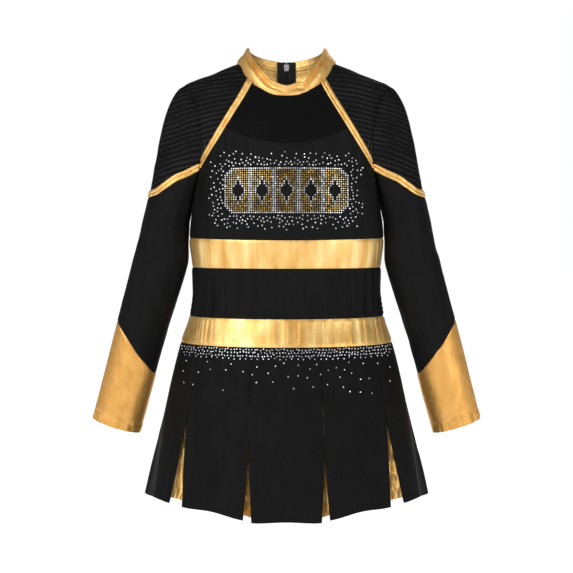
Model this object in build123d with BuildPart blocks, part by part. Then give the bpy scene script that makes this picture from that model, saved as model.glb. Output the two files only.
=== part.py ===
"""A child's long-sleeved cheer uniform (size 10), as the pieces it is cut and sewn from.

Frame: millimetres, +Z up, +X towards the wearer's left, the front faces -Y.
The origin is the middle of the neck opening, level with the neck point of the shoulders.
The dress has the shape that it takes on a body, and is held up by its neck and shoulders.
"""

import os
from math import cos, hypot, pi, radians, sin, sqrt, tan

from build123d import *

os.makedirs("parts", exist_ok=True)

# ---------------------------------------------------------------- driving dimensions, mm
CLOTH = 1.2  # fabric with its seam turnings
CLEAR = 0.4  # air between pieces that move apart
SLIT = 0.05  # a hair's breadth, so that sewn edges meet without overlapping
TRIM_WIDTH = 9.0  # gold binding over the seams

# Horizontal ellipses of the body: height, half width, half depth.
CROWN = (18, 45, 30)
NECK = (11, 68, 36)
SLOPE = (-4, 108, 41.5)
OUTER_SLOPE = (-12, 130, 45)
SHOULDER = (-22, 149, 49)
COLLARBONE = (-40, 144, 53)
ARMHOLE_MIDDLE = (-76, 135.5, 60)
UNDERARM = (-129, 124, 65)
CHEST = (-182, 129.5, 69)
UPPER_BAND_TOP = (-234, 134.5, 69)
UPPER_BAND_END = (-270, 131.5, 66)
WAIST = (-304, 131.5, 64)
LOWER_BAND_TOP = (-338, 136, 67)
LOWER_BAND_END = (-374, 147.5, 75)
HEM = (-580, 192, 127)
SHOULDERS = [CROWN, NECK, SLOPE, OUTER_SLOPE, SHOULDER, COLLARBONE]
BODY = SHOULDERS + [ARMHOLE_MIDDLE, UNDERARM, CHEST, UPPER_BAND_TOP]

# The back is straight from collar to skirt, so that the zip is straight too.
BACK_AT_NECK = 49.0
BACK_LEAN = 0.05
ZIP_OPENING = 5.0  # half the gap between the two back edges

# The collar is a cone that leans back: height, half width, front, back.
COLLAR = [
    (-62, 70, -54.5, 44),
    (-11, 69, -53.7, 50.1),
    (10, 67, -49.5, 49.0),
    (23, 60.5, -46, 48.4),
    (36, 51, -43, 47.7),
]
COLLAR_PEAK = (52.0, 32.5)
COLLAR_FRONT = [(43.0, 6.0), (27.0, -17.0), (0.0, -25.0)]  # top edge, from the peak to the middle
COLLAR_BACK_Z = 22.0

# Sleeve, in its own frame: distance along the sleeve, width, half depth.
SHOULDER_TIP = (151.0, -4.0, -22.0)
UNDERARM_POINT = (126.5, -129.0)
SLEEVE_ANGLE = 15.0
SLEEVE = [
    (-36, 51, 31),
    (95, 51, 33),
    (199, 68.4, 31),
    (235, 76, 29),
    (287, 74, 28),
    (349, 71, 26),
    (445, 70.6, 24),
    (480, 70, 23),
]
CHEVRON = [(108, -127), (134, -140), (162, -152.5), (205, -176)]
CUFF_SEAM = [(330, -210), (160, -456)]

# Seams seen from the front, from the neck down.
RAGLAN = [(36, 18), (50, -19), (78, -68), (122, -132)]
SCOOP_SIDE = (88.0, -78.0)
SCOOP_DEPTH = -104.0

# Skirt: panel edges by their ellipse angle from the front, at the waist and at the hem.
EDGES_TOP = [(-17.9, 17.9), (17.9, 54.6), (54.6, 89.8)]
EDGES_HEM = [(-13.0, 13.0), (16.1, 44.2), (51.8, 86.8)]
PLEAT_DEPTH = 24.0

# Zip, in its own frame: x across, y out of the back, z up along the chain.
# Heights out of the back count from the cloth's outer face.
ZIP_TOP = 23.5
ZIP_END = -370.0
TAPE_FACES = (-2.6, -1.8)
TAPE_EDGES = (1.2, 13.0)
COIL_FACES = (-1.7, -0.1)
COIL_EDGES = (0.45, 2.2)
COIL_TOP = 20.2
COIL_END = -362.0
STOP_LENGTH = 1.8
SLIDER_LOW = 11.0  # lower end of the slider when the zip is closed
SLIDER_LENGTH = 9.0
SLIDER_HALF_WIDTH = 3.7
SLIDER_FRONT = (0.25, 1.15)
SLIDER_BACK = (-4.0, -3.0)
FLANGE = 0.8
BRIDGE_HALF_WIDTH = 0.9
PIN_OUT = 2.6  # the pull's pin, out from the cloth
PIN_UP = 5.0  # the pull's pin, up from the slider's lower end
PIN_RADIUS = 0.55
PIN_CLEARANCE = 0.06
PULL_LENGTH = 24.0
PULL_HALF_WIDTH = 3.1
PULL_THICKNESS = 1.1
WINDOW_HALF_WIDTH = 1.35
WINDOW_LENGTH = 4.6

# Chest motif and crystals, in front view.
MOTIF_TOP = -136.5
MOTIF_BOTTOM = -196.5
MOTIF_HALF_WIDTH = 81.0
MOTIF_CHAMFER = 10.0
DIAMONDS = 5
DIAMOND = (13.0, 24.0)
STONE_RADIUS = 1.5
STONE_HEIGHT = 1.0
STONE_GLUE = 0.1

# ---------------------------------------------------------------- shared geometry


def back_y(z):
    """The straight line of the back."""
    return BACK_AT_NECK - BACK_LEAN * z


def centre_y(level):
    """The middle of a level; above the collar seam the back curves in under the collar."""
    z, _, half_depth = level
    tuck = max(0, z + 11) * 0.5
    return back_y(z) - tuck - half_depth


def between(low, high, z):
    """The body's ellipse at height z, between two levels."""
    share = (z - low[0]) / (high[0] - low[0])
    return (z, low[1] + share * (high[1] - low[1]), low[2] + share * (high[2] - low[2]))


def on_body(level, angle, inset=0.0):
    """A point on a level's ellipse; the angle counts from the front, towards +X."""
    _, half_width, half_depth = level
    x = (half_width - inset) * sin(radians(angle))
    y = centre_y(level) - (half_depth - inset) * cos(radians(angle))
    return (x, y)


def body_loft(levels, inset=0.0, drop=0.0):
    """The solid body through the levels, smaller by inset, with the shoulders lower by drop."""
    with BuildPart() as body:
        for level in levels:
            z, half_width, half_depth = level
            lowered = z - (drop if z >= SHOULDER[0] else 0.0)
            with BuildSketch(Plane.XY.offset(lowered)):
                with Locations((0, centre_y(level))):
                    Ellipse(half_width - inset, half_depth - inset)
        loft(ruled=True)
    return body.part


def curved_panel(levels, edges, inset=0.0, thickness=CLOTH):
    """A strip of the body's wall from level to level, between two angles at each level."""
    with BuildPart() as panel:
        for level, (start, end) in zip(levels, edges):
            z, half_width, half_depth = level
            outer = (half_width - inset, half_depth - inset)
            inner = (outer[0] - thickness, outer[1] - thickness)
            with BuildSketch(Plane.XY.offset(z)):
                with BuildLine():
                    middle = (0, centre_y(level))
                    wall = EllipticalCenterArc(middle, *outer, start - 90, arc_size=end - start)
                    lining = EllipticalCenterArc(middle, *inner, start - 90, arc_size=end - start)
                    Line(wall @ 0, lining @ 0)
                    Line(wall @ 1, lining @ 1)
                make_face()
        loft(ruled=True)
    return panel.part


def zip_edge(level):
    """The angle at which a back piece ends beside the zip."""
    return 180 - (ZIP_OPENING / level[1]) * 180 / pi


def prism(outline, reach=160):
    """A front-view outline carried right through the body."""
    with BuildPart() as block:
        with BuildSketch(Plane.XZ):
            with BuildLine():
                Polyline(*outline, close=True)
            make_face()
        extrude(amount=reach, both=True)
    return block.part


def save(shape, name):
    shape.label = name
    export_step(shape, f"parts/{name}.step")


def save_pair(shape, name):
    """Writes a piece of the wearer's left and its mirror image on the right."""
    save(shape, f"{name}_left")
    save(mirror(shape, about=Plane.YZ), f"{name}_right")


# ---------------------------------------------------------------- bands, waist and skirt


def torso_ring(name, low, high):
    """A ring of the body in three pieces: the front, and one back piece each side of the zip."""
    levels = [high, low] if name != "waist_panel" else [high, WAIST, low]
    save(curved_panel(levels, [(-90, 90)] * len(levels)), f"{name}_front")
    back_edges = [(90.15, zip_edge(level)) for level in levels]
    save_pair(curved_panel(levels, back_edges), f"{name}_back")


torso_ring("upper_band", UPPER_BAND_END, UPPER_BAND_TOP)
torso_ring("waist_panel", LOWER_BAND_TOP, UPPER_BAND_END)
torso_ring("lower_band", LOWER_BAND_END, LOWER_BAND_TOP)

SKIRT = [LOWER_BAND_END, HEM]
save(curved_panel(SKIRT, [EDGES_TOP[0], EDGES_HEM[0]]), "skirt_panel_front")
for place, top, hem in zip(("front", "side_front"), EDGES_TOP[1:], EDGES_HEM[1:]):
    save_pair(curved_panel(SKIRT, [top, hem]), f"skirt_panel_{place}")
back_twins = [[(180 - end, 180 - start) for start, end in rows] for rows in (EDGES_TOP, EDGES_HEM)]
save(curved_panel(SKIRT, [back_twins[0][0], back_twins[1][0]]), "skirt_panel_back")
for place, top, hem in zip(("back", "side_back"), back_twins[0][1:], back_twins[1][1:]):
    save_pair(curved_panel(SKIRT, [top, hem]), f"skirt_panel_{place}")


def pleat_insert(top_angle, hem_gap):
    """A gold gusset folded to a V behind the gap between two skirt panels."""
    low = between(HEM, LOWER_BAND_END, HEM[0] + 6)
    high = between(HEM, LOWER_BAND_END, LOWER_BAND_END[0] - 8)
    start, end = hem_gap
    behind = 2.5  # degrees that each wing runs on behind its panel
    cuts = [
        (high, top_angle - behind, top_angle, top_angle + behind, 3.0),
        (low, start - behind, (start + end) / 2, end + behind, PLEAT_DEPTH),
    ]
    with BuildPart() as insert:
        for level, first, fold, last, depth in cuts:
            near, far = CLOTH + SLIT, CLOTH + SLIT + depth
            front = [on_body(level, first, near), on_body(level, fold, far), on_body(level, last, near)]
            behind_it = [
                on_body(level, last, near + CLOTH),
                on_body(level, fold, far + CLOTH),
                on_body(level, first, near + CLOTH),
            ]
            with BuildSketch(Plane.XY.offset(level[0])):
                with BuildLine():
                    Polyline(*front, *behind_it, close=True)
                make_face()
        loft(ruled=True)
    return insert.part


GAPS = [
    (EDGES_TOP[0][1], (EDGES_HEM[0][1], EDGES_HEM[1][0])),
    (EDGES_TOP[1][1], (EDGES_HEM[1][1], EDGES_HEM[2][0])),
    (90.0, (EDGES_HEM[2][1], 180 - EDGES_HEM[2][1])),
    (180 - EDGES_TOP[1][1], (180 - EDGES_HEM[2][0], 180 - EDGES_HEM[1][1])),
    (180 - EDGES_TOP[0][1], (180 - EDGES_HEM[1][0], 180 - EDGES_HEM[0][1])),
]
inserts = [pleat_insert(top_angle, gap) for top_angle, gap in GAPS]
inserts += [mirror(insert, about=Plane.YZ) for insert in inserts]
save(Compound(children=inserts), "pleat_inserts")

# ---------------------------------------------------------------- sleeve tube and armhole plane
ANGLE = radians(SLEEVE_ANGLE)
ALONG = Vector(sin(ANGLE), 0, -cos(ANGLE))
ACROSS = Vector(-cos(ANGLE), 0, -sin(ANGLE))


def sleeve_tube(inset=0.0):
    """The solid sleeve; its outer edge passes through the shoulder tip."""
    with BuildPart() as tube:
        for distance, width, half_depth in SLEEVE:
            start = Vector(*SHOULDER_TIP) + ALONG * distance
            with BuildSketch(Plane(origin=start, x_dir=ACROSS, z_dir=ALONG)):
                with Locations((width / 2, 0)):
                    Ellipse(width / 2 - inset, half_depth - inset)
        loft(ruled=True)
    return tube.part


tip_x, _, tip_z = SHOULDER_TIP
slant = (UNDERARM_POINT[0] - tip_x) / (UNDERARM_POINT[1] - tip_z)


def armhole_x(z, shift=0.0):
    """Where the armhole plane stands at height z, seen from the front."""
    return tip_x + (z - tip_z) * slant + shift


def armhole_side(shift, far_x):
    """Everything on one side of the armhole plane, out to far_x."""
    top, bottom = 90, -560
    return prism(
        [(armhole_x(top, shift), top), (far_x, top), (far_x, bottom), (armhole_x(bottom, shift), bottom)]
    )


# Solids that touch are made as tools first, then combined with the piece in hand.
sleeve_outside = sleeve_tube()
sleeve_hollow = sleeve_tube(CLOTH)
sleeve_wall = (sleeve_outside - sleeve_hollow) & armhole_side(CLEAR, 420)


def chevron_zone(top_shift, bottom_shift, top=None):
    """The part of the sleeve between the chevron line shifted up and shifted down."""
    lower = [(x, z + bottom_shift) for x, z in CHEVRON]
    upper = [(x, z + top_shift) for x, z in reversed(CHEVRON)]
    if top is not None:
        upper = [(CHEVRON[-1][0], top), (CHEVRON[0][0], top)]
    return prism(lower + upper)


HALF_TRIM = TRIM_WIDTH / 2 / cos(radians(24))
save_pair(sleeve_wall & chevron_zone(0, HALF_TRIM + SLIT, top=40), "sleeve_cap_mesh")
save_pair(sleeve_wall & chevron_zone(HALF_TRIM, -HALF_TRIM), "sleeve_trim")
(seam_out, seam_high), (seam_in, seam_low) = CUFF_SEAM
below_chevron = [(x, z - HALF_TRIM - SLIT) for x, z in CHEVRON]
sleeve_body_zone = prism(
    below_chevron + [(330, -176), (seam_out, seam_high), (seam_in, seam_low), (108, seam_low)]
)
cuff_zone = prism([(seam_out, seam_high - SLIT), (seam_in, seam_low - SLIT), (seam_in, -560), (330, -560)])
save_pair(sleeve_wall & sleeve_body_zone, "sleeve")
save_pair(sleeve_wall & cuff_zone, "cuff")

# ---------------------------------------------------------------- collar and upper body


def collar_cone(inset=0.0):
    """The solid neck column that the collar wraps."""
    with BuildPart() as cone:
        for z, half_width, front, back in COLLAR:
            half_depth = (back - front) / 2
            with BuildSketch(Plane.XY.offset(z)):
                with Locations((0, (back + front) / 2)):
                    Ellipse(half_width - inset, half_depth - inset)
        loft(ruled=True)
    return cone.part


def side_prism(outline, reach=200):
    """A side-view outline, as (y, z) points, carried right across the body."""
    with BuildPart() as block:
        with BuildSketch(Plane.YZ):
            with BuildLine():
                Polyline(*outline, close=True)
            make_face()
        extrude(amount=reach, both=True)
    return block.part


with BuildPart(Plane((0, BACK_AT_NECK, 0))) as zip_slot:
    Box(2 * ZIP_OPENING, 60, 900)

peak_x, peak_z = COLLAR_PEAK
front_points = [(-x, z) for x, z in COLLAR_FRONT[:-1]] + COLLAR_FRONT[::-1]
with BuildPart() as collar_front_cut:
    with BuildSketch(Plane.XZ):
        with BuildLine():
            dip = Spline((-peak_x, peak_z), *front_points, (peak_x, peak_z))
            Polyline(dip @ 1, (90, peak_z), (90, 90), (-90, 90), (-90, peak_z), dip @ 0)
        make_face()
    extrude(amount=90)

with BuildPart() as collar_back_cut:
    with BuildSketch(Plane.XZ):
        with BuildLine():
            dip = ThreePointArc((-peak_x, peak_z), (0, COLLAR_BACK_Z), (peak_x, peak_z))
            Polyline(dip @ 1, (90, peak_z), (90, 90), (-90, 90), (-90, peak_z), dip @ 0)
        make_face()
    extrude(amount=-90)

body_outside = body_loft(BODY)
body_hollow = body_loft(BODY, inset=CLOTH, drop=CLOTH * 0.95)
neck_column = collar_cone()
collar = neck_column - collar_cone(CLOTH) - body_outside - zip_slot.part
save(collar - collar_front_cut.part - collar_back_cut.part, "collar")

# The armhole stands out from the body as a short stub of the sleeve, under an arched shoulder.
STUB = 26.0


def under_shoulder(drop=0.0):
    """Everything below the arch of the shoulder, which falls away towards the armhole."""
    fall = (tip_z - SLOPE[0]) / (tip_x - SLOPE[1])
    start_x, middle_y, half, rise = 60, SHOULDER_TIP[1], 40, 20
    crest = SLOPE[0] + fall * (start_x - SLOPE[1]) - drop
    with BuildPart() as block:
        with BuildSketch(Plane.YZ.offset(start_x)):
            with BuildLine():
                ends = [(middle_y - half, crest - rise), (middle_y + half, crest - rise)]
                arch = ThreePointArc(ends[0], (middle_y, crest), ends[1])
                Polyline(arch @ 1, (middle_y + half, -560), (middle_y - half, -560), arch @ 0)
            make_face()
        extrude(amount=200, dir=(1, 0, fall))
    return block.part


near_armhole = armhole_side(-STUB, 420)
beyond_armhole = armhole_side(0, 420)
stub = ((sleeve_outside & near_armhole) - beyond_armhole) & under_shoulder()
passage = (sleeve_hollow & near_armhole) & under_shoulder(CLOTH)
upper_left = prism([(60, 60), (240, 60), (240, UNDERARM[0] - 3), (60, UNDERARM[0] - 3)])
cut_away = beyond_armhole & upper_left
stubs = stub + mirror(stub, about=Plane.YZ)
passages = passage + mirror(passage, about=Plane.YZ)
body_wall = (body_outside + stubs) - body_hollow - passages
body_wall = body_wall - neck_column - zip_slot.part - cut_away - mirror(cut_away, about=Plane.YZ)

RAGLAN_LEAN = hypot(RAGLAN[3][0] - RAGLAN[2][0], RAGLAN[3][1] - RAGLAN[2][1]) / (RAGLAN[2][1] - RAGLAN[3][1])
HALF_RAGLAN = TRIM_WIDTH / 2 * RAGLAN_LEAN


def raglan_edge(shift):
    """The raglan seam line moved sideways, on the wearer's left."""
    return [(x + shift, z) for x, z in RAGLAN]


def raglan_strip(shift_in, shift_out):
    return prism(raglan_edge(shift_in) + list(reversed(raglan_edge(shift_out))))


def inside_raglan(shift):
    """Between the two raglan seams and, below them, out to the sides."""
    left = raglan_edge(shift)
    right = [(-x, z) for x, z in left]
    foot = [(170, RAGLAN[-1][1]), (170, -260), (-170, -260), (-170, RAGLAN[-1][1])]
    return prism(left + foot + list(reversed(right)))


side_seam_y = centre_y(UNDERARM)
front_half = side_prism([(-120, 60), (side_seam_y, 60), (side_seam_y, -300), (-120, -300)])
back_half = side_prism([(side_seam_y + SLIT, 60), (120, 60), (120, -300), (side_seam_y + SLIT, -300)])
left_back = back_half & prism([(ZIP_OPENING, 60), (170, 60), (170, -300), (ZIP_OPENING, -300)])

with BuildPart() as scoop:
    with BuildSketch(Plane.XZ):
        with BuildLine():
            dip = ThreePointArc((-SCOOP_SIDE[0], SCOOP_SIDE[1]), (0, SCOOP_DEPTH), SCOOP_SIDE)
            Polyline(dip @ 1, (SCOOP_SIDE[0], 60), (-SCOOP_SIDE[0], 60), dip @ 0)
        make_face()
    extrude(amount=160, both=True)

centre_wall = body_wall & inside_raglan(-HALF_RAGLAN)
yoke_wall = centre_wall & scoop.part
bodice_wall = centre_wall - scoop.part
save(yoke_wall & front_half, "front_yoke_mesh")
save(bodice_wall & front_half, "front_bodice")
save_pair(yoke_wall & left_back, "back_yoke_mesh")
save_pair(bodice_wall & left_back, "back_bodice")
left_trim = body_wall & raglan_strip(-HALF_RAGLAN + SLIT, HALF_RAGLAN - SLIT)
save_pair(left_trim & front_half, "raglan_trim_front")
save_pair(left_trim & back_half, "raglan_trim_back")
shoulder_zone = prism([(20, 60), (200, 60), (200, RAGLAN[-1][1] + SLIT), (20, RAGLAN[-1][1] + SLIT)])
save_pair((body_wall & shoulder_zone) - inside_raglan(HALF_RAGLAN), "shoulder_mesh")

# ---------------------------------------------------------------- zip
ZIP = Plane((0, BACK_AT_NECK, 0), x_dir=(1, 0, 0), z_dir=(0, -BACK_LEAN, 1))


def zip_block(name, edges, faces, low, high):
    """A straight piece of the zip on the wearer's left of its middle, and its mirror image."""
    with BuildPart() as block:
        with BuildSketch(ZIP.offset(low)):
            with Locations(((edges[0] + edges[1]) / 2, (faces[0] + faces[1]) / 2)):
                Rectangle(edges[1] - edges[0], faces[1] - faces[0])
        extrude(amount=high - low)
    save_pair(block.part, name)


zip_block("zip_tape", TAPE_EDGES, TAPE_FACES, ZIP_END, ZIP_TOP)
zip_block("zip_teeth", COIL_EDGES, COIL_FACES, COIL_END + STOP_LENGTH, COIL_TOP)
zip_block("zip_top_stop", COIL_EDGES, (COIL_FACES[0], COIL_FACES[1] + 0.5), COIL_TOP, COIL_TOP + STOP_LENGTH)

with BuildPart() as zip_bottom_stop:
    with BuildSketch(ZIP.offset(COIL_END)):
        with Locations((0, (COIL_FACES[0] + COIL_FACES[1]) / 2)):
            Rectangle(2 * COIL_EDGES[1] + 1, COIL_FACES[1] - COIL_FACES[0] + 0.1)
    extrude(amount=STOP_LENGTH - SLIT)
save(zip_bottom_stop.part, "zip_bottom_stop")

pin_height = SLIDER_LOW + PIN_UP
SIDE = Plane(ZIP.from_local_coords((0, PIN_OUT, pin_height)), x_dir=ZIP.y_dir, z_dir=(1, 0, 0))
FACE = Plane(ZIP.from_local_coords((0, PIN_OUT, pin_height)), x_dir=(-1, 0, 0), z_dir=ZIP.y_dir)

with BuildPart() as zip_slider:
    for faces in (SLIDER_FRONT, SLIDER_BACK):
        with BuildSketch(FACE.offset(faces[0] - PIN_OUT)):
            with BuildLine():
                edge = [
                    (-SLIDER_HALF_WIDTH, SLIDER_LENGTH - PIN_UP),
                    (-SLIDER_HALF_WIDTH, -0.5),
                    (-SLIDER_HALF_WIDTH + 0.9, -PIN_UP),
                ]
                Polyline(*edge, *[(-x, z) for x, z in reversed(edge)], close=True)
            make_face()
        extrude(amount=faces[1] - faces[0])
    with BuildSketch(ZIP.offset(SLIDER_LOW + 3.5)):
        for side in (-1, 1):
            flange_x = side * (SLIDER_HALF_WIDTH - FLANGE / 2)
            for near, far in ((TAPE_FACES[1] + 0.3, SLIDER_FRONT[0]), (SLIDER_BACK[1], TAPE_FACES[0] - 0.3)):
                with Locations((flange_x, (near + far) / 2)):
                    Rectangle(FLANGE, far - near)
    extrude(amount=SLIDER_LENGTH - 3.5)
    with BuildSketch(ZIP.offset(SLIDER_LOW + SLIDER_LENGTH - 2)):
        with Locations((0, (SLIDER_BACK[1] + SLIDER_FRONT[0]) / 2)):
            Rectangle(0.5, SLIDER_FRONT[0] - SLIDER_BACK[1])
    extrude(amount=2)
    with BuildSketch(SIDE.offset(-BRIDGE_HALF_WIDTH)):
        with BuildLine():
            foot = SLIDER_FRONT[1] - PIN_OUT
            Polyline((foot, 3.2), (0.8, 2.2), (1.4, 1.0), (1.4, -1.0), (0.8, -2.2), (foot, -3.2), close=True)
        make_face()
        Circle(PIN_RADIUS + PIN_CLEARANCE, mode=Mode.SUBTRACT)
    extrude(amount=2 * BRIDGE_HALF_WIDTH)
save(zip_slider.part, "zip_slider")

with BuildPart() as zip_pull:
    with BuildSketch(FACE.offset(-PULL_THICKNESS / 2)):
        with Locations((0, -PULL_LENGTH / 2)):
            Rectangle(2 * PULL_HALF_WIDTH, PULL_LENGTH)
        with Locations((0, -WINDOW_LENGTH / 2)):
            Rectangle(2 * WINDOW_HALF_WIDTH, WINDOW_LENGTH, mode=Mode.SUBTRACT)
        with Locations((0, -PULL_LENGTH + 4)):
            Circle(1.5, mode=Mode.SUBTRACT)
    extrude(amount=PULL_THICKNESS)
    fillet(zip_pull.edges().filter_by(Axis(FACE.origin, FACE.z_dir)).group_by(Axis.Z)[0], 2.2)
    with BuildSketch(SIDE.offset(-PULL_HALF_WIDTH)):
        Circle(PIN_RADIUS)
    extrude(amount=2 * PULL_HALF_WIDTH)
save(zip_pull.part, "zip_pull")

# ---------------------------------------------------------------- motif and crystals


def level_at(z):
    """The body's ellipse at a height below the shoulders, whichever levels it lies between."""
    levels = BODY + [UPPER_BAND_END, WAIST, LOWER_BAND_TOP, LOWER_BAND_END, HEM]
    for high, low in zip(levels, levels[1:]):
        if low[0] <= z <= high[0]:
            return between(low, high, z)
    return HEM


def on_front(x, z):
    """The point of the cloth's outer face in front view position (x, z)."""
    _, half_width, half_depth = level_at(z)
    return Vector(x, centre_y(level_at(z)) - half_depth * sqrt(1 - (x / half_width) ** 2), z)


def front_seat(x, z):
    """The seat of a stone on the front of the body, facing straight out of the cloth."""
    here = on_front(x, z)
    outward = (on_front(x + 0.1, z) - here).cross(on_front(x, z + 0.1) - here).normalized()
    return Plane(here + outward * 2 * STONE_GLUE, z_dir=outward)


def stones(name, spots):
    """Faceted stones stand in as cones, one at each spot."""
    with BuildPart() as shape:
        with Locations(*[front_seat(x, z) for x, z in spots]):
            Cone(STONE_RADIUS, STONE_RADIUS * 0.6, STONE_HEIGHT, align=(Align.CENTER, Align.CENTER, Align.MIN))
    save(shape.part, name)


diamond_pitch = 2 * MOTIF_HALF_WIDTH / DIAMONDS
middle_z = (MOTIF_TOP + MOTIF_BOTTOM) / 2
with BuildPart() as motif_plate:
    with BuildSketch(Plane.XZ):
        with BuildLine():
            corner_x, corner_z = MOTIF_HALF_WIDTH - MOTIF_CHAMFER, MOTIF_TOP - MOTIF_CHAMFER
            quarter = [(corner_x, MOTIF_TOP), (MOTIF_HALF_WIDTH, corner_z)]
            below = [(x, 2 * middle_z - z) for x, z in reversed(quarter)]
            mirrored = [(-x, z) for x, z in reversed(quarter + below)]
            Polyline(*quarter, *below, *mirrored, close=True)
        make_face()
        for column in range(DIAMONDS):
            x = (column - (DIAMONDS - 1) / 2) * diamond_pitch
            half, tall = DIAMOND[0] / 2, DIAMOND[1] / 2
            with BuildLine():
                Polyline(
                    (x - half, middle_z), (x, middle_z + tall), (x + half, middle_z), (x, middle_z - tall), close=True
                )
            make_face(mode=Mode.SUBTRACT)
    extrude(amount=160)
stone_skin = body_loft(BODY, inset=-STONE_GLUE - STONE_HEIGHT) - body_loft(BODY, inset=-STONE_GLUE)
save(stone_skin & motif_plate.part, "chest_motif")

GOLDEN = (sqrt(5) - 1) / 2
rim = []
for ring, pitch in ((6.0, 7.0), (13.0, 14.0)):
    wide, tall = MOTIF_HALF_WIDTH + ring, (MOTIF_TOP - MOTIF_BOTTOM) / 2 + ring
    along = int(2 * wide / pitch)
    up = int(2 * tall / pitch)
    for step in range(along + 1):
        x = -wide + 2 * wide * step / along
        rim += [(x, middle_z + tall), (x, middle_z - tall)]
    for step in range(1, up):
        z = middle_z - tall + 2 * tall * step / up
        rim += [(-wide, z), (wide, z)]
stones("chest_crystals", rim)

band_foot = LOWER_BAND_END[0]
drift = []
for step in range(90):
    x = (2 * ((step * GOLDEN) % 1) - 1) * 128
    z = band_foot - 4 - 50 * (step / 90) ** 2
    edges = [level_at(z)[1] * sin(radians(angle)) for _, angle in EDGES_TOP[:2]]
    if all(abs(abs(x) - edge) > 4 for edge in edges):
        drift.append((x, z))
stones("skirt_crystals", drift)
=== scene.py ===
"""The looks of a child's cheer uniform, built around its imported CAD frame.

Shapes are worked out in millimetres on the frame's own axes (+Z up, +X the wearer's left, front
towards -Y) and become metres in one place, add_mesh(). Angles on the body are degrees from the front
towards +X. Every grid of points has its columns from left to right as seen from outside, its rows
going up.
"""

from math import cos, pi, radians, sin, sqrt

import bpy
import numpy as np
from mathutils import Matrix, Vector


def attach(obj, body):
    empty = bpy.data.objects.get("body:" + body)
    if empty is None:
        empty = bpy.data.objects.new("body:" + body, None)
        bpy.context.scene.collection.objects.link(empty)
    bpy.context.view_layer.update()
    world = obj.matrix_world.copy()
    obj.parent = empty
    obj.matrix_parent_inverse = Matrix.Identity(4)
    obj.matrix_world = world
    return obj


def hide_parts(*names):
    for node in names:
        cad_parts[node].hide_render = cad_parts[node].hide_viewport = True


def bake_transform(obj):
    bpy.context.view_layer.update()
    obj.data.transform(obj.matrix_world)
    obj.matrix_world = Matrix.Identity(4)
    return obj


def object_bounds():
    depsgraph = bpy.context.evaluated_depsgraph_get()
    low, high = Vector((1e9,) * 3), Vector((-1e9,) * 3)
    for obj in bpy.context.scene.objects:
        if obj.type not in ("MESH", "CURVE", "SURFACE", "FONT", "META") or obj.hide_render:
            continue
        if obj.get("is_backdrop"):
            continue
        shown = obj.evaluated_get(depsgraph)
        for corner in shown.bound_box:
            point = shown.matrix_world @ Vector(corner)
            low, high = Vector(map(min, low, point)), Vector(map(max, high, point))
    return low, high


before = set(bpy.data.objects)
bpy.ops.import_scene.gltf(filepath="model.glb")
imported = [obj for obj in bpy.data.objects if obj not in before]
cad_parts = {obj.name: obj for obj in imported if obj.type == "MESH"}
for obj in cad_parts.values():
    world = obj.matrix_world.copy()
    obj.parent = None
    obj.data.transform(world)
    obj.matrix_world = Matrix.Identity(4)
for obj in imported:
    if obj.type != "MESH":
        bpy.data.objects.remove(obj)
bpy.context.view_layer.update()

# ---------------------------------------------------------------- driving dimensions, mm
METRE = 0.001
CLOTH = 0.9
BACK_AT_NECK = 49.0
BACK_LEAN = 0.05
TUCK_FROM = -11.0  # above this the back curves in under the collar

# Horizontal ellipses of the body: height, half width, half depth.
LEVELS = [
    (-580, 192, 127),
    (-374, 147.5, 75),
    (-338, 136, 67),
    (-304, 131.5, 64),
    (-270, 131.5, 66),
    (-234, 134.5, 69),
    (-182, 129.5, 69),
    (-129, 124, 65),
    (-76, 135.5, 60),
    (-40, 144, 53),
    (-22, 149, 49),
    (-12, 130, 45),
    (-4, 108, 41.5),
    (11, 68, 36),
    (18, 45, 30),
]
UPPER_BAND = (-270.0, -234.0)
LOWER_BAND = (-374.0, -338.0)
HEM = -580.0
ZIP_OPENING = 5.0

# Seams in front view: x, z.
RAGLAN = [(36, 18), (50, -19), (78, -68), (118.5, -130)]
RAGLAN_HALF = 4.6
SCOOP_CORNER = (88.0, -78.0)
SCOOP_DEPTH = -104.0
CHEVRON = [(112, -129), (122, -134), (136, -141.5), (151, -148), (167, -158.5), (180, -166.5), (205, -171)]
CHEVRON_HALF = 5.2
CUFF_SEAM = [(330, -210), (160, -456)]

# The armhole on the front of the body: height, angle.
ARMHOLE = [(-136, 90), (-128, 72), (-110, 65.5), (-84, 62), (-60, 62), (-30, 66), (-20, 76), (-16, 90)]
ARMHOLE_MIDDLE, ARMHOLE_HALF = -76.0, 60.0

# The sleeve in its own frame: distance along it, width, half depth.
SHOULDER_TIP = np.array([151.0, -4.0, -22.0])
SLEEVE_ANGLE = radians(15)
SLEEVE = [
    (0, 51, 31),
    (95, 51, 33),
    (199, 68.4, 31),
    (235, 76, 29),
    (287, 74, 28),
    (349, 71, 26),
    (445, 70.6, 24),
    (480, 70, 23),
]
SLEEVE_FREE = 175.0  # from here down the sleeve hangs as a plain tube
ALONG = np.array([sin(SLEEVE_ANGLE), 0, -cos(SLEEVE_ANGLE)])
ACROSS = np.array([-cos(SLEEVE_ANGLE), 0, -sin(SLEEVE_ANGLE)])

# The collar is a cone that leans back: height, half width, front, back.
COLLAR = [
    (-62, 70, -54.5, 44),
    (-11, 69, -53.7, 50.1),
    (10, 67, -49.5, 49),
    (23, 60.5, -46, 48.4),
    (36, 51, -43, 47.7),
]

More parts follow.
